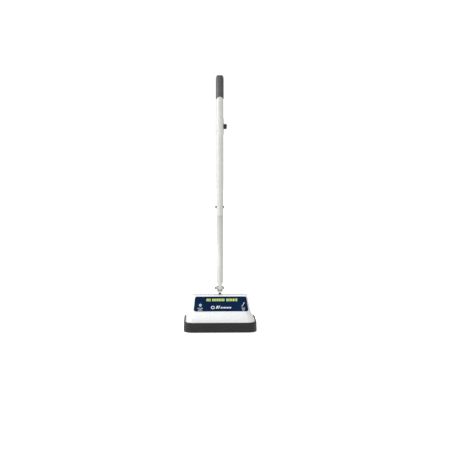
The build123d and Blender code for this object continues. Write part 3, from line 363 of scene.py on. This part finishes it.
def grip_sleeve():
    """Turned sleeve whose lower edge follows an arch: edge height is a circle's height over x.

    Around the axis the angle runs once; along the sleeve the section goes up the outside, over
    the crown to the pole, and back down the bore. On the crown the radius falls with the square of
    the way along, and the height closes on the top with the square of the way left.
    """
    columns = 72
    a = np.linspace(0, TAU, columns, endpoint=False)
    arch_r = (GRIP_R**2 + GRIP_ARCH**2) / (2 * GRIP_ARCH)

    def edge(radius):
        return GRIP_LOW + GRIP_ARCH - arch_r + np.sqrt(arch_r**2 - (radius * np.cos(a)) ** 2)

    def ring_of(radius, height):
        return np.column_stack([radius * np.cos(a), radius * np.sin(a), height + 0 * a])

    rings = [ring_of(TUBE_R + 0.9, edge(GRIP_R)), ring_of(GRIP_R - 0.7, edge(GRIP_R) + 0.1)]
    rings += [ring_of(GRIP_R - 0.2, edge(GRIP_R) + 0.5), ring_of(GRIP_R, edge(GRIP_R) + GRIP_LIP)]
    for share in (0.08, 0.5, 0.94):
        straight = GROOVE_LOW - edge(GRIP_R) - GRIP_LIP
        rings.append(ring_of(GRIP_R, edge(GRIP_R) + GRIP_LIP + share * straight))
    rings += [ring_of(GRIP_R - depth, z) for z, depth in GROOVE]
    rings += [ring_of(GRIP_R, z) for z in (1150.0, GRIP_TOP - CROWN_H - 1.0)]
    for t in np.linspace(0, 1, 12):
        rings.append(ring_of(GRIP_R + t**2 * (CROWN_R - GRIP_R), GRIP_TOP - CROWN_H * (1 - t) ** 2))
    rings += [ring_of(6.0, GRIP_TOP), ring_of(POLE_R, GRIP_TOP), ring_of(POLE_R, GRIP_TOP - GRIP_END_T)]
    rings += [ring_of(TUBE_R, GRIP_TOP - GRIP_END_T), ring_of(TUBE_R, edge(TUBE_R) + 1.0)]
    rings = np.stack(rings)
    faces = grid_faces(len(rings), columns)
    return piece_from("grip_sleeve", rings.reshape(-1, 3), faces, "handle", ("grip",), sharp=50)


# ---- bristles ------------------------------------------------------------------------------------


LEAN_PLACES, LEANS = (0, 0.3, 1), (-1.6, 0.4, 5.0)  # outward lean from the inner ring to the outer
FILAMENT_R = (0.42, 0.38, 0.28)  # at the root, half way and at the tip
SEEDS = {"left": 7, "right": 11}


def bristle_field(side, x):
    """Tufts in rings on the block: each tuft is a sheaf of tapered three-sided filaments.

    A filament runs from its root on the block to a tip on the floor, and its tip's radius is the
    root's radius carried outward in proportion to the ring's place, so that the field flares.
    """
    rng = np.random.default_rng(SEEDS[side])
    tufts = []
    for k, radius in enumerate(np.linspace(TUFT_IN_R, TUFT_OUT_R, TUFT_RINGS)):
        count = int(TAU * radius / TUFT_PITCH)
        a = (np.arange(count) + 0.5 * (k % 2)) * TAU / count
        tufts.append(np.column_stack([np.full(count, radius), a, np.full(count, k / (TUFT_RINGS - 1))]))
    root_r, angle, ring_share = np.repeat(np.concatenate(tufts), TUFT_FILAMENTS, axis=0).T
    n = len(root_r)
    spin = rng.uniform(0, TAU, n)
    off = TUFT_R * np.sqrt(rng.uniform(0.02, 1, n))
    flare = 1.0 + rng.uniform(0.6, 1.0, n)
    lean = np.interp(ring_share, LEAN_PLACES, LEANS) + rng.uniform(-0.5, 0.5, n)
    sweep = rng.uniform(-0.02, 0.02, n)
    rows = []
    for s in (0.0, 0.5, 1.0):
        r = root_r + off * np.cos(spin) * (1 + s * (flare - 1)) + lean * s**1.4
        r = np.clip(r, BRUSH_IN_R + 0.5, BRUSH_R - 0.6)
        t = angle + off * np.sin(spin) * (1 + s * (flare - 1)) / root_r + sweep * s
        z = np.where(s == 1.0, rng.uniform(0.0, 0.5, n), (1 - s) * (BRISTLE_H + 0.5))
        rows.append(np.stack([x + r * np.cos(t), r * np.sin(t), z + 0 * r], axis=1))
    centre = np.stack(rows, axis=1)
    width = np.array(FILAMENT_R)
    corner = np.arange(3) * TAU / 3
    triangle = np.stack([np.cos(corner), np.sin(corner), 0 * corner], axis=1)
    points = (centre[:, :, None, :] + width[None, :, None, None] * triangle).reshape(-1, 3)
    sides = [
        [i * 3 + j, i * 3 + (j + 1) % 3, (i + 1) * 3 + (j + 1) % 3, (i + 1) * 3 + j]
        for i in range(2)
        for j in range(3)
    ]
    corners = 9  # of one filament
    base = (np.arange(n) * corners)[:, None, None]
    quads = (base + np.array(sides)[None]).reshape(-1, 4).tolist()
    caps = (base[:, 0] + np.array([[0, 1, 2]])).tolist() + (base[:, 0] + np.array([[6, 8, 7]])).tolist()
    faces = quads + caps
    mesh = bpy.data.meshes.new(f"{side}_tufts")
    mesh.from_pydata((points * MM).tolist(), [], faces)
    shade = mesh.attributes.new("filament_shade", "FLOAT", "POINT")
    shade.data.foreach_set("value", np.repeat(rng.uniform(0, 1, n), corners).astype(np.float32))
    work = bmesh.new()
    work.from_mesh(mesh)
    bmesh.ops.recalc_face_normals(work, faces=work.faces)
    work.to_mesh(mesh)
    work.free()
    return place(f"{side}_bristle_tufts", mesh, f"{side}_brush", (f"{side}_bristles",), sharp=80)


# ---- shared surface effects ----------------------------------------------------------------------


def effect_group(name, inputs, outputs):
    """Empty shader node group with the named sockets, and its input and output nodes."""
    group = bpy.data.node_groups.new(name, "ShaderNodeTree")
    for label, kind, value in inputs:
        socket = group.interface.new_socket(name=label, in_out="INPUT", socket_type=kind)
        if value is not None:
            socket.default_value = value
    for label, kind in outputs:
        group.interface.new_socket(name=label, in_out="OUTPUT", socket_type=kind)
    return group, group.nodes.new("NodeGroupInput"), group.nodes.new("NodeGroupOutput")


VALUE, COLOUR, VECTOR = "NodeSocketFloat", "NodeSocketColor", "NodeSocketVector"


def math_node(tree, operation, a=None, b=None, clamp=False):
    """Math node with constants or links on its two inputs."""
    node = tree.nodes.new("ShaderNodeMath")
    node.operation = operation
    node.use_clamp = clamp
    for socket, value in zip(node.inputs, (a, b)):
        if isinstance(value, bpy.types.NodeSocket):
            tree.links.new(value, socket)
        elif value is not None:
            socket.default_value = value
    return node.outputs[0]


def mix_colour(tree, factor, a, b, blend="MIX"):
    """Colour mix with constants or links on every input."""
    node = tree.nodes.new("ShaderNodeMix")
    node.data_type = "RGBA"
    node.blend_type = blend
    for socket, value in ((node.inputs[0], factor), (node.inputs[6], a), (node.inputs[7], b)):
        if isinstance(value, bpy.types.NodeSocket):
            tree.links.new(value, socket)
        else:
            socket.default_value = value
    return node.outputs[2]


def spread(tree, value, low, high, to_low=0.0, to_high=1.0):
    """Maps a value range onto another, clamped."""
    node = tree.nodes.new("ShaderNodeMapRange")
    for socket, number in zip(node.inputs[1:5], (low, high, to_low, to_high)):
        socket.default_value = number
    tree.links.new(value, node.inputs[0])
    return node.outputs[0]


def noise(tree, vector, scale, detail=3.0, rough=0.5):
    """Noise texture's value on a vector."""
    node = tree.nodes.new("ShaderNodeTexNoise")
    node.inputs["Scale"].default_value = scale
    node.inputs["Detail"].default_value = detail
    node.inputs["Roughness"].default_value = rough
    tree.links.new(vector, node.inputs["Vector"])
    return node.outputs[0]


def build_uneven_colour():
    """Slow drift and fine speckle between two colours."""
    group, given, made = effect_group(
        "uneven colour",
        [
            ("Vector", VECTOR, None), ("Main", COLOUR, None), ("Drift", COLOUR, None),
            ("Speckle", COLOUR, None), ("Speckle Amount", VALUE, 0.3),
        ],
        [("Color", COLOUR)],
    )
    vector = given.outputs["Vector"]
    slow = spread(group, noise(group, vector, scale=14.0, detail=2.0), 0.35, 0.68)
    drifted = mix_colour(group, slow, given.outputs["Main"], given.outputs["Drift"])
    fine = spread(group, noise(group, vector, scale=900.0, detail=2.0, rough=0.6), 0.52, 0.72)
    amount = math_node(group, "MULTIPLY", fine, given.outputs["Speckle Amount"])
    group.links.new(mix_colour(group, amount, drifted, given.outputs["Speckle"]), made.inputs["Color"])
    return group


def build_moulded_grain():
    """Fine moulding grain with a slow waviness, as a height and as a roughness mask."""
    group, given, made = effect_group(
        "moulded grain",
        [("Vector", VECTOR, None), ("Fine", VALUE, 1.0), ("Wavy", VALUE, 0.2)],
        [("Height", VALUE), ("Mask", VALUE)],
    )
    vector = given.outputs["Vector"]
    fine = noise(group, vector, scale=1500.0, detail=2.0, rough=0.5)
    wavy = noise(group, vector, scale=28.0, detail=2.0, rough=0.4)
    height = math_node(
        group, "ADD",
        math_node(group, "MULTIPLY", fine, given.outputs["Fine"]),
        math_node(group, "MULTIPLY", wavy, given.outputs["Wavy"]),
    )
    group.links.new(height, made.inputs["Height"])
    patches = noise(group, vector, scale=60.0, detail=4.0, rough=0.6)
    group.links.new(spread(group, patches, 0.35, 0.7), made.inputs["Mask"])
    return group


def build_hairline_wear():
    """Long thin scratches in two directions, as a mask."""
    group, given, made = effect_group(
        "hairline wear", [("Vector", VECTOR, None), ("Amount", VALUE, 0.3)], [("Mask", VALUE)]
    )
    total = None
    for turn, stretch in ((0.5, (40.0, 900.0, 900.0)), (2.1, (900.0, 60.0, 700.0))):
        mapping = group.nodes.new("ShaderNodeMapping")
        mapping.inputs["Rotation"].default_value = (0.3 * turn, 0.0, turn)
        mapping.inputs["Scale"].default_value = stretch
        group.links.new(given.outputs["Vector"], mapping.inputs["Vector"])
        line = spread(group, noise(group, mapping.outputs[0], scale=1.0, detail=1.0), 0.66, 0.72)
        total = line if total is None else math_node(group, "MAXIMUM", total, line)
    patch = spread(group, noise(group, given.outputs["Vector"], scale=22.0, detail=2.0), 0.45, 0.65)
    masked = math_node(group, "MULTIPLY", total, patch)
    group.links.new(math_node(group, "MULTIPLY", masked, given.outputs["Amount"]), made.inputs["Mask"])
    return group


def build_settled_dust():
    """Pale dust that lies on faces that look up, broken by noise, as a mask."""
    group, given, made = effect_group(
        "settled dust", [("Vector", VECTOR, None), ("Amount", VALUE, 0.2)], [("Mask", VALUE)]
    )
    geometry = group.nodes.new("ShaderNodeNewGeometry")
    split = group.nodes.new("ShaderNodeSeparateXYZ")
    group.links.new(geometry.outputs["Normal"], split.inputs[0])
    facing = spread(group, split.outputs[2], 0.35, 0.95)
    patches = noise(group, given.outputs["Vector"], scale=120.0, detail=5.0, rough=0.65)
    broken = spread(group, patches, 0.38, 0.7)
    masked = math_node(group, "MULTIPLY", facing, broken)
    group.links.new(math_node(group, "MULTIPLY", masked, given.outputs["Amount"]), made.inputs["Mask"])
    return group


UNEVEN = build_uneven_colour()
GRAIN = build_moulded_grain()
HAIRLINES = build_hairline_wear()
DUST = build_settled_dust()

# ---- materials -----------------------------------------------------------------------------------


def paint(r, g, b):
    """Linear colour of an 8-bit display colour."""
    out = []
    for c in (r, g, b):
        c = c / 255
        out.append(c / 12.92 if c <= 0.04045 else ((c + 0.055) / 1.055) ** 2.4)
    return (*out, 1.0)


DUST_COLOUR = paint(176, 172, 164)


def start(name):
    """New material with its Principled shader and Object coordinates."""
    material = bpy.data.materials.new(name)
    material.use_nodes = True
    tree = material.node_tree
    shader = tree.nodes["Principled BSDF"]
    coords = tree.nodes.new("ShaderNodeTexCoord")
    return material, tree, shader, coords.outputs["Object"]


def use_group(tree, group, vector, **values):
    """Group node on a vector, with its other inputs set by name (underscores for spaces)."""
    node = tree.nodes.new("ShaderNodeGroup")
    node.node_tree = group
    tree.links.new(vector, node.inputs["Vector"])
    for key, value in values.items():
        node.inputs[key.replace("_", " ")].default_value = value
    return node


def bump(tree, shader, height, strength, distance):
    """Bump from a height onto the shader's normal."""
    node = tree.nodes.new("ShaderNodeBump")
    node.inputs["Strength"].default_value = strength
    node.inputs["Distance"].default_value = distance
    tree.links.new(height, node.inputs["Height"])
    tree.links.new(node.outputs[0], shader.inputs["Normal"])


def moulded(
    name, main, drift, speckle, rough, fine, wavy, depth,
    amount=0.25, wear=0.0, dust=0.0, coat=0.0, metal=0.0, gloss=0.5,
):
    """Finish of a moulded, painted or cast piece: uneven colour, grain, hairlines and dust.

    The three colours are 8-bit, rough is the range of roughness, fine and wavy weigh the two scales
    of the grain, depth is its height in millimetres, and amount is how much of the speckle shows.
    """
    material, tree, shader, where = start(name)
    colours = {"Main": paint(*main), "Drift": paint(*drift), "Speckle": paint(*speckle)}
    colour = use_group(tree, UNEVEN, where, **colours, Speckle_Amount=amount).outputs[0]
    grain = use_group(tree, GRAIN, where, Fine=fine, Wavy=wavy)
    roughness = spread(tree, grain.outputs["Mask"], 0.0, 1.0, rough[0], rough[1])
    if wear:
        lines = use_group(tree, HAIRLINES, where, Amount=wear).outputs[0]
        colour = mix_colour(tree, lines, colour, paint(*drift))
        rougher = math_node(tree, "MULTIPLY", lines, 0.35)
        roughness = math_node(tree, "ADD", roughness, rougher, clamp=True)
    if dust:
        settled = use_group(tree, DUST, where, Amount=dust).outputs[0]
        colour = mix_colour(tree, settled, colour, DUST_COLOUR)
        rougher = math_node(tree, "MULTIPLY", settled, 0.5)
        roughness = math_node(tree, "ADD", roughness, rougher, clamp=True)
    tree.links.new(colour, shader.inputs["Base Color"])
    tree.links.new(roughness, shader.inputs["Roughness"])
    shader.inputs["Metallic"].default_value = metal
    shader.inputs["Specular IOR Level"].default_value = gloss
    shader.inputs["Coat Weight"].default_value = coat
    shader.inputs["Coat Roughness"].default_value = 0.08
    bump(tree, shader, grain.outputs["Height"], 0.5, depth * MM)
    return material


def steel(name, tone, rough, stretch, wear=0.3):
    """Ground or turned steel: streaks along one direction drive the roughness and a faint relief."""
    material, tree, shader, where = start(name)
    mapping = tree.nodes.new("ShaderNodeMapping")
    mapping.inputs["Scale"].default_value = stretch
    tree.links.new(where, mapping.inputs["Vector"])
    streak = noise(tree, mapping.outputs[0], scale=1.0, detail=4.0, rough=0.6)
    tone_shift = mix_colour(tree, streak, paint(*[int(0.86 * c) for c in tone]), paint(*tone))
    lines = use_group(tree, HAIRLINES, where, Amount=wear).outputs[0]
    tree.links.new(mix_colour(tree, lines, tone_shift, paint(150, 146, 140)), shader.inputs["Base Color"])
    tree.links.new(spread(tree, streak, 0.3, 0.7, rough[0], rough[1]), shader.inputs["Roughness"])
    shader.inputs["Metallic"].default_value = 1.0
    bump(tree, shader, streak, 0.25, 0.05 * MM)
    return material


def wound_wire(name, axis_scale):
    """Enamelled copper wire: fine parallel turns in height, with painted shade in the grooves between turns
    and a painted highlight on their crowns.
    """
    material, tree, shader, where = start(name)
    mapping = tree.nodes.new("ShaderNodeMapping")
    mapping.inputs["Scale"].default_value = axis_scale
    tree.links.new(where, mapping.inputs["Vector"])
    wave = tree.nodes.new("ShaderNodeTexWave")
    wave.inputs["Scale"].default_value = 1.0
    wave.inputs["Distortion"].default_value = 1.2
    tree.links.new(mapping.outputs[0], wave.inputs["Vector"])
    # colour follows the turns' height: darker in the grooves as painted shade, lighter on the crowns as a
    # painted highlight
    tone = mix_colour(tree, wave.outputs["Fac"], paint(96, 38, 14), paint(206, 112, 58))
    spotted = use_group(
        tree, UNEVEN, where,
        Main=(1, 1, 1, 1), Drift=(0.75, 0.7, 0.66, 1), Speckle=(0.4, 0.3, 0.25, 1), Speckle_Amount=0.3,
    )
    tree.links.new(mix_colour(tree, 1.0, tone, spotted.outputs[0], "MULTIPLY"), shader.inputs["Base Color"])
    tree.links.new(spread(tree, wave.outputs["Fac"], 0, 1, 0.45, 0.22), shader.inputs["Roughness"])
    shader.inputs["Metallic"].default_value = 0.7
    shader.inputs["Coat Weight"].default_value = 0.5
    bump(tree, shader, wave.outputs["Fac"], 0.8, 0.3 * MM)
    return material


def stacked_sheets(name):
    """Core of thin steel sheets: a dark line every millimetre up the stack."""
    material, tree, shader, where = start(name)
    split = tree.nodes.new("ShaderNodeSeparateXYZ")
    tree.links.new(where, split.inputs[0])
    phase = math_node(tree, "MULTIPLY", split.outputs[2], TAU / MM)
    line = spread(tree, math_node(tree, "SINE", phase), 0.4, 0.9)
    tone = mix_colour(tree, line, paint(120, 118, 116), paint(52, 48, 46))
    grain = use_group(tree, GRAIN, where, Fine=0.6, Wavy=0.3)
    stained = math_node(tree, "MULTIPLY", grain.outputs["Mask"], 0.25)
    tree.links.new(mix_colour(tree, stained, tone, paint(112, 74, 52)), shader.inputs["Base Color"])
    tree.links.new(spread(tree, grain.outputs["Mask"], 0, 1, 0.35, 0.6), shader.inputs["Roughness"])
    shader.inputs["Metallic"].default_value = 0.8
    bump(tree, shader, line, 0.6, -0.1 * MM)
    return material


def bristle_fibre(name):
    """Natural fibre: each filament has its own shade, paler and dustier towards the tip."""
    material, tree, shader, where = start(name)
    shade = tree.nodes.new("ShaderNodeAttribute")
    shade.attribute_name = "filament_shade"
    split = tree.nodes.new("ShaderNodeSeparateXYZ")
    tree.links.new(where, split.inputs[0])
    tip = spread(tree, split.outputs[2], 0.0, 9 * MM, 1.0, 0.0)
    fibre = mix_colour(tree, shade.outputs["Fac"], paint(58, 44, 30), paint(104, 84, 58))
    worn = mix_colour(tree, math_node(tree, "MULTIPLY", tip, 0.4), fibre, paint(134, 116, 88))
    streak = noise(tree, where, scale=700.0, detail=3.0)
    dark = spread(tree, streak, 0.5, 0.8, 0, 0.5)
    tree.links.new(mix_colour(tree, dark, worn, paint(42, 32, 22)), shader.inputs["Base Color"])
    tree.links.new(spread(tree, streak, 0.3, 0.7, 0.45, 0.7), shader.inputs["Roughness"])
    shader.inputs["Sheen Weight"].default_value = 0.15
    bump(tree, shader, streak, 0.3, 0.1 * MM)
    return material


WHITE = (246, 247, 248)
finish = {
    "bumper_rubber": moulded(
        "bumper rubber", (17, 17, 18), (22, 22, 22), (36, 35, 34),
        rough=(0.32, 0.42), fine=0.8, wavy=0.3, depth=0.25, amount=0.3, wear=0.4, dust=0.14,
    ),
    "housing_plastic": moulded(
        "white moulded housing", WHITE, (244, 245, 246), (237, 238, 238),
        rough=(0.24, 0.32), fine=0.3, wavy=0.08, depth=0.03, amount=0.1, wear=0.06, dust=0.03,
    ),
    "label_film": moulded(
        "navy label film", (0, 35, 72), (0, 29, 63), (6, 45, 82),
        rough=(0.36, 0.44), fine=0.3, wavy=0.6, depth=0.06, amount=0.1, wear=0.1, gloss=0.08,
    ),
    "deck_plastic": moulded(
        "dark deck plastic", (58, 58, 60), (50, 50, 52), (74, 74, 74),
        rough=(0.5, 0.62), fine=1.0, wavy=0.3, depth=0.25, amount=0.3, wear=0.3, dust=0.25,
    ),
    "cast_alloy": moulded(
        "cast alloy", (176, 177, 178), (160, 161, 163), (132, 132, 132),
        rough=(0.38, 0.55), fine=1.2, wavy=0.5, depth=0.3, amount=0.4, wear=0.3, dust=0.1, metal=0.9,
    ),
    # screw tone darker and browner than bare zinc plate: part plating colour, part painted shade of the pivot
    # bolt sitting in the fork
    "screw_steel": steel(
        "zinc-plated screws and nuts darkened as painted shade", (126, 122, 112),
        rough=(0.22, 0.42), stretch=(300.0, 300.0, 900.0), wear=0.5,
    ),
    "bearing_steel": steel(
        "ground steel", (200, 201, 204),
        rough=(0.15, 0.3), stretch=(200.0, 200.0, 2400.0), wear=0.3,
    ),
    "plate_steel": steel(
        "rolled steel plate", (170, 170, 172),
        rough=(0.3, 0.5), stretch=(60.0, 1600.0, 60.0), wear=0.4,
    ),
    "hub_steel": steel(
        "pressed brush hub", (206, 206, 208),
        rough=(0.2, 0.4), stretch=(500.0, 500.0, 120.0), wear=0.4,
    ),
    "gear_nylon": moulded(
        "natural nylon", (228, 224, 208), (216, 211, 194), (200, 194, 176),
        rough=(0.34, 0.46), fine=0.5, wavy=0.4, depth=0.12, amount=0.3, wear=0.2,
    ),
    "lamination_steel": stacked_sheets("stacked core sheets"),
    "copper_wire": wound_wire("enamelled copper wire", (900.0, 900.0, 2600.0)),
    "brush_carbon": moulded(
        "brush carbon", (36, 36, 38), (44, 44, 46), (66, 66, 70),
        rough=(0.4, 0.6), fine=1.0, wavy=0.4, depth=0.2, amount=0.5,
    ),
    "black_plastic": moulded(
        "black switch plastic", (30, 30, 32), (36, 36, 38), (52, 52, 54),
        rough=(0.34, 0.46), fine=0.9, wavy=0.3, depth=0.12, amount=0.25, wear=0.2, dust=0.06,
    ),
    "soft_black_rubber": moulded(
        "soft black rubber", (22, 22, 22), (29, 29, 29), (44, 44, 44),
        rough=(0.55, 0.7), fine=1.0, wavy=0.6, depth=0.25, amount=0.3,
    ),
    "fork_paint": moulded(
        "fork paint", (228, 228, 224), (220, 220, 215), (202, 200, 195),
        rough=(0.22, 0.34), fine=0.5, wavy=0.8, depth=0.12, amount=0.2, wear=0.3, coat=0.3,
    ),
    "tube_paint": moulded(
        "off-white tube paint", (222, 222, 216), (217, 217, 211), (208, 207, 200),
        rough=(0.24, 0.34), fine=0.3, wavy=0.1, depth=0.05, amount=0.12, wear=0.12, coat=0.2,
    ),
    "grip_vinyl": moulded(
        "grip vinyl", (76, 76, 77), (84, 84, 84), (100, 99, 98),
        rough=(0.38, 0.52), fine=1.6, wavy=0.5, depth=0.35, amount=0.35, wear=0.2, dust=0.08,
    ),
    "case_plastic": moulded(
        "switch case plastic", (224, 224, 219), (219, 219, 214), (210, 209, 204),
        rough=(0.32, 0.44), fine=0.7, wavy=0.1, depth=0.1, amount=0.15, wear=0.1, dust=0.04,
    ),
    "brush_plate": moulded(
        "cream brush plate", (228, 220, 200), (218, 209, 187), (198, 187, 162),
        rough=(0.36, 0.5), fine=0.9, wavy=0.5, depth=0.2, amount=0.35, wear=0.35, dust=0.1,
    ),
    "bristle_fibre": bristle_fibre("brown bristle fibre"),
}
ink_white = moulded(
    "white label ink", (238, 240, 240), (230, 233, 234), (214, 218, 220),
    rough=(0.3, 0.4), fine=0.4, wavy=0.2, depth=0.02, amount=0.2,
)
ink_lime = moulded(
    "lime label ink", (212, 232, 126), (205, 226, 116), (190, 212, 100),
    rough=(0.3, 0.4), fine=0.4, wavy=0.2, depth=0.02, amount=0.2,
)

slot_of = {entry["node"]: entry["material_slot"] for entry in frame["record"]["subparts"]}


def wear_finish(piece, material):
    """Puts one material on a whole piece."""
    piece.data.materials.clear()
    piece.data.materials.append(material)


for node, cad in nodes.items():
    cad.data.materials.clear()
    cad.data.materials.append(finish[slot_of[node]])

# ---- pieces --------------------------------------------------------------------------------------

wear_finish(bumper_ring(), finish["bumper_rubber"])
wear_finish(housing_shell(), finish["housing_plastic"])
wear_finish(grip_sleeve(), finish["grip_vinyl"])
for side, x in (("left", -SPINDLE_X), ("right", SPINDLE_X)):
    wear_finish(bristle_field(side, x), finish["bristle_fibre"])

# hardware that keeps its own shape: node, width of its broken edges, angle of its creases if not 32
FINISHED_NODES = (
    ("lower_tube", 0.0, 18), ("upper_tube", 0.0), ("pivot_fork", 0.5), ("friction_washers", 0.0),
    ("pivot_bolt", 0.3), ("pivot_nut", 0.3), ("joint_bolt", 0.3), ("joint_nut", 0.3),
    ("switch_case_front", 0.0), ("switch_case_rear", 0.0), ("switch_case_screws", 0.15),
    ("switch_bezel", 0.35), ("switch_rocker", 0.3),
    ("cord_gland", 0.4), ("fork_grommet", 0.4), ("label_plate", 0.12), ("deck", 0.0), ("housing_screws", 0.2),
    ("left_brush_block", 0.0), ("right_brush_block", 0.0), ("left_brush_hub", 0.3), ("right_brush_hub", 0.3),
    ("left_spindle", 0.2), ("right_spindle", 0.2), ("gear_cover", 0.0),
)
for node, bevel, *sharp in FINISHED_NODES:
    wear_finish(merged_copy(node, bevel, *sharp), finish[slot_of[node]])

# the label's plain graphics, in millimetres across and up its panel
LIME_RUNS = ((-65.5, -44.0, 3), (-39.0, 21.5, 8), (28.0, 82.0, 7))  # start, end, count
LIME_Y, LIME_H, LIME_SLANT = 22.0, 14.5, 0.8
FINE_ROWS = (  # middle of each small block, then its rows as height and length
    (-94.5, ((-24.0, 26), (-29.5, 15), (-36.0, 23))),
    (108.5, ((-24.0, 17), (-29.5, 15), (-36.0, 11))),
)
lime_bars = [block for run in LIME_RUNS for block in blocks(*run, LIME_Y, LIME_H, LIME_SLANT)]
# in the middle a ring, two tall bars and seven short ones; under each side mark three fine rows
white_marks = [ring_outline(-35.0, -20.0, 9.0, 5.6)] + blocks(-20.0, -2.0, 2, -18.5, 15.0, 3.0)
white_marks += blocks(1.0, 52.0, 7, -21.5, 8.0, 1.2)
for middle, fine_rows in FINE_ROWS:
    for y, length in fine_rows:
        white_marks += blocks(middle - length / 2, middle + length / 2, length // 4, y, 2.6, 0.0)
# the side marks: a ring crossed by a bar on the left, a slanted stem with two tabs on the right
white_marks += [ring_outline(-93.5, -7.0, 6.6, 3.8), bar(-93.5, -7.0, 2.6, 17)]
white_marks += [bar(108.5, -4.0, 3.6, 24, 5.0), bar(112.0, 3.5, 5.0, 7, 1.5), bar(104.5, -11.0, 5.0, 7, 1.5)]
wear_finish(label_print("label_print_lime", lime_bars), ink_lime)
wear_finish(label_print("label_print_white", white_marks), ink_white)

# ---- stage, light and camera ---------------------------------------------------------------------


FLOOR_REACH, FLOOR_DROP = 14.0, 0.0005
FLOOR_GLOW, FLOOR_GLOW_SEEN = 0.15, 0.9
SURROUND, SURROUND_SEEN = 0.37, 1.02
LIGHTS = (  # name, size, power, place, aim
    ("key", 1.6, 86.0, (-3.8, -0.9, 1.7), (0.0, 0.0, 0.6)),
    ("fill", 2.0, 6.0, (2.8, -2.6, 1.4), (0.0, 0.0, 0.5)),
    ("top", 2.2, 40.0, (0.0, 1.0, 3.2), (0.0, 0.0, 0.2)),
    ("front", 1.4, 46.0, (-0.6, -4.0, 3.0), (0.0, 0.0, 0.05)),
)
EYE, LENS, LOOK_DOWN, LOOK_RIGHT = (-0.097, -4.624, 0.890), 78.2, 4.83, 1.505


def studio_floor():
    """White floor that is seen only from above, brighter to the camera than to what stands on it."""
    mesh = bpy.data.meshes.new("floor")
    square = [(sx * FLOOR_REACH, sy * FLOOR_REACH, 0) for sx, sy in ((-1, -1), (1, -1), (1, 1), (-1, 1))]
    mesh.from_pydata(square, [], [(0, 1, 2, 3)])
    floor = bpy.data.objects.new("studio_floor", mesh)
    bpy.context.scene.collection.objects.link(floor)
    floor.location.z = -FLOOR_DROP
    material, tree, shader, _ = start("studio floor")
    shader.inputs["Base Color"].default_value = (0.93, 0.93, 0.93, 1)
    shader.inputs["Roughness"].default_value = 0.9
    shader.inputs["Emission Color"].default_value = (1, 1, 1, 1)
    seen = tree.nodes.new("ShaderNodeLightPath").outputs["Is Camera Ray"]
    glow = spread(tree, seen, 0.0, 1.0, FLOOR_GLOW, FLOOR_GLOW_SEEN)
    tree.links.new(glow, shader.inputs["Emission Strength"])
    geometry = tree.nodes.new("ShaderNodeNewGeometry")
    clear = tree.nodes.new("ShaderNodeBsdfTransparent")
    choose = tree.nodes.new("ShaderNodeMixShader")
    output = tree.nodes["Material Output"]
    tree.links.new(geometry.outputs["Backfacing"], choose.inputs[0])
    tree.links.new(shader.outputs[0], choose.inputs[1])
    tree.links.new(clear.outputs[0], choose.inputs[2])
    tree.links.new(choose.outputs[0], output.inputs["Surface"])
    floor.data.materials.append(material)


def studio_light():
    """Soft white surround and four area lights: key left, weak fill right, one above, one in front."""
    world = bpy.data.worlds.new("studio surround")
    bpy.context.scene.world = world
    world.use_nodes = True
    sky = world.node_tree
    sky.nodes["Background"].inputs[0].default_value = (1, 1, 1, 1)
    seen = sky.nodes.new("ShaderNodeLightPath").outputs["Is Camera Ray"]
    strength = spread(sky, seen, 0.0, 1.0, SURROUND, SURROUND_SEEN)
    sky.links.new(strength, sky.nodes["Background"].inputs[1])
    for name, size, power, spot, aim in LIGHTS:
        light = bpy.data.lights.new(name, "AREA")
        light.size = size
        light.energy = power
        lamp = bpy.data.objects.new(name, light)
        bpy.context.scene.collection.objects.link(lamp)
        lamp.location = spot
        lamp.rotation_euler = (Vector(aim) - Vector(spot)).to_track_quat("-Z", "Y").to_euler()
    bpy.context.scene.view_settings.view_transform = "Standard"


def camera():
    """Camera 4.6 m in front of the handle and 0.89 m up, looking slightly down."""
    lens = bpy.data.cameras.new("camera")
    lens.sensor_width = 36.0
    lens.lens = LENS
    eye = bpy.data.objects.new("camera", lens)
    bpy.context.scene.collection.objects.link(eye)
    eye.location = EYE
    eye.rotation_euler = (math.radians(90 - LOOK_DOWN), 0.0, -math.radians(LOOK_RIGHT))
    bpy.context.scene.camera = eye


studio_floor()
studio_light()
camera()
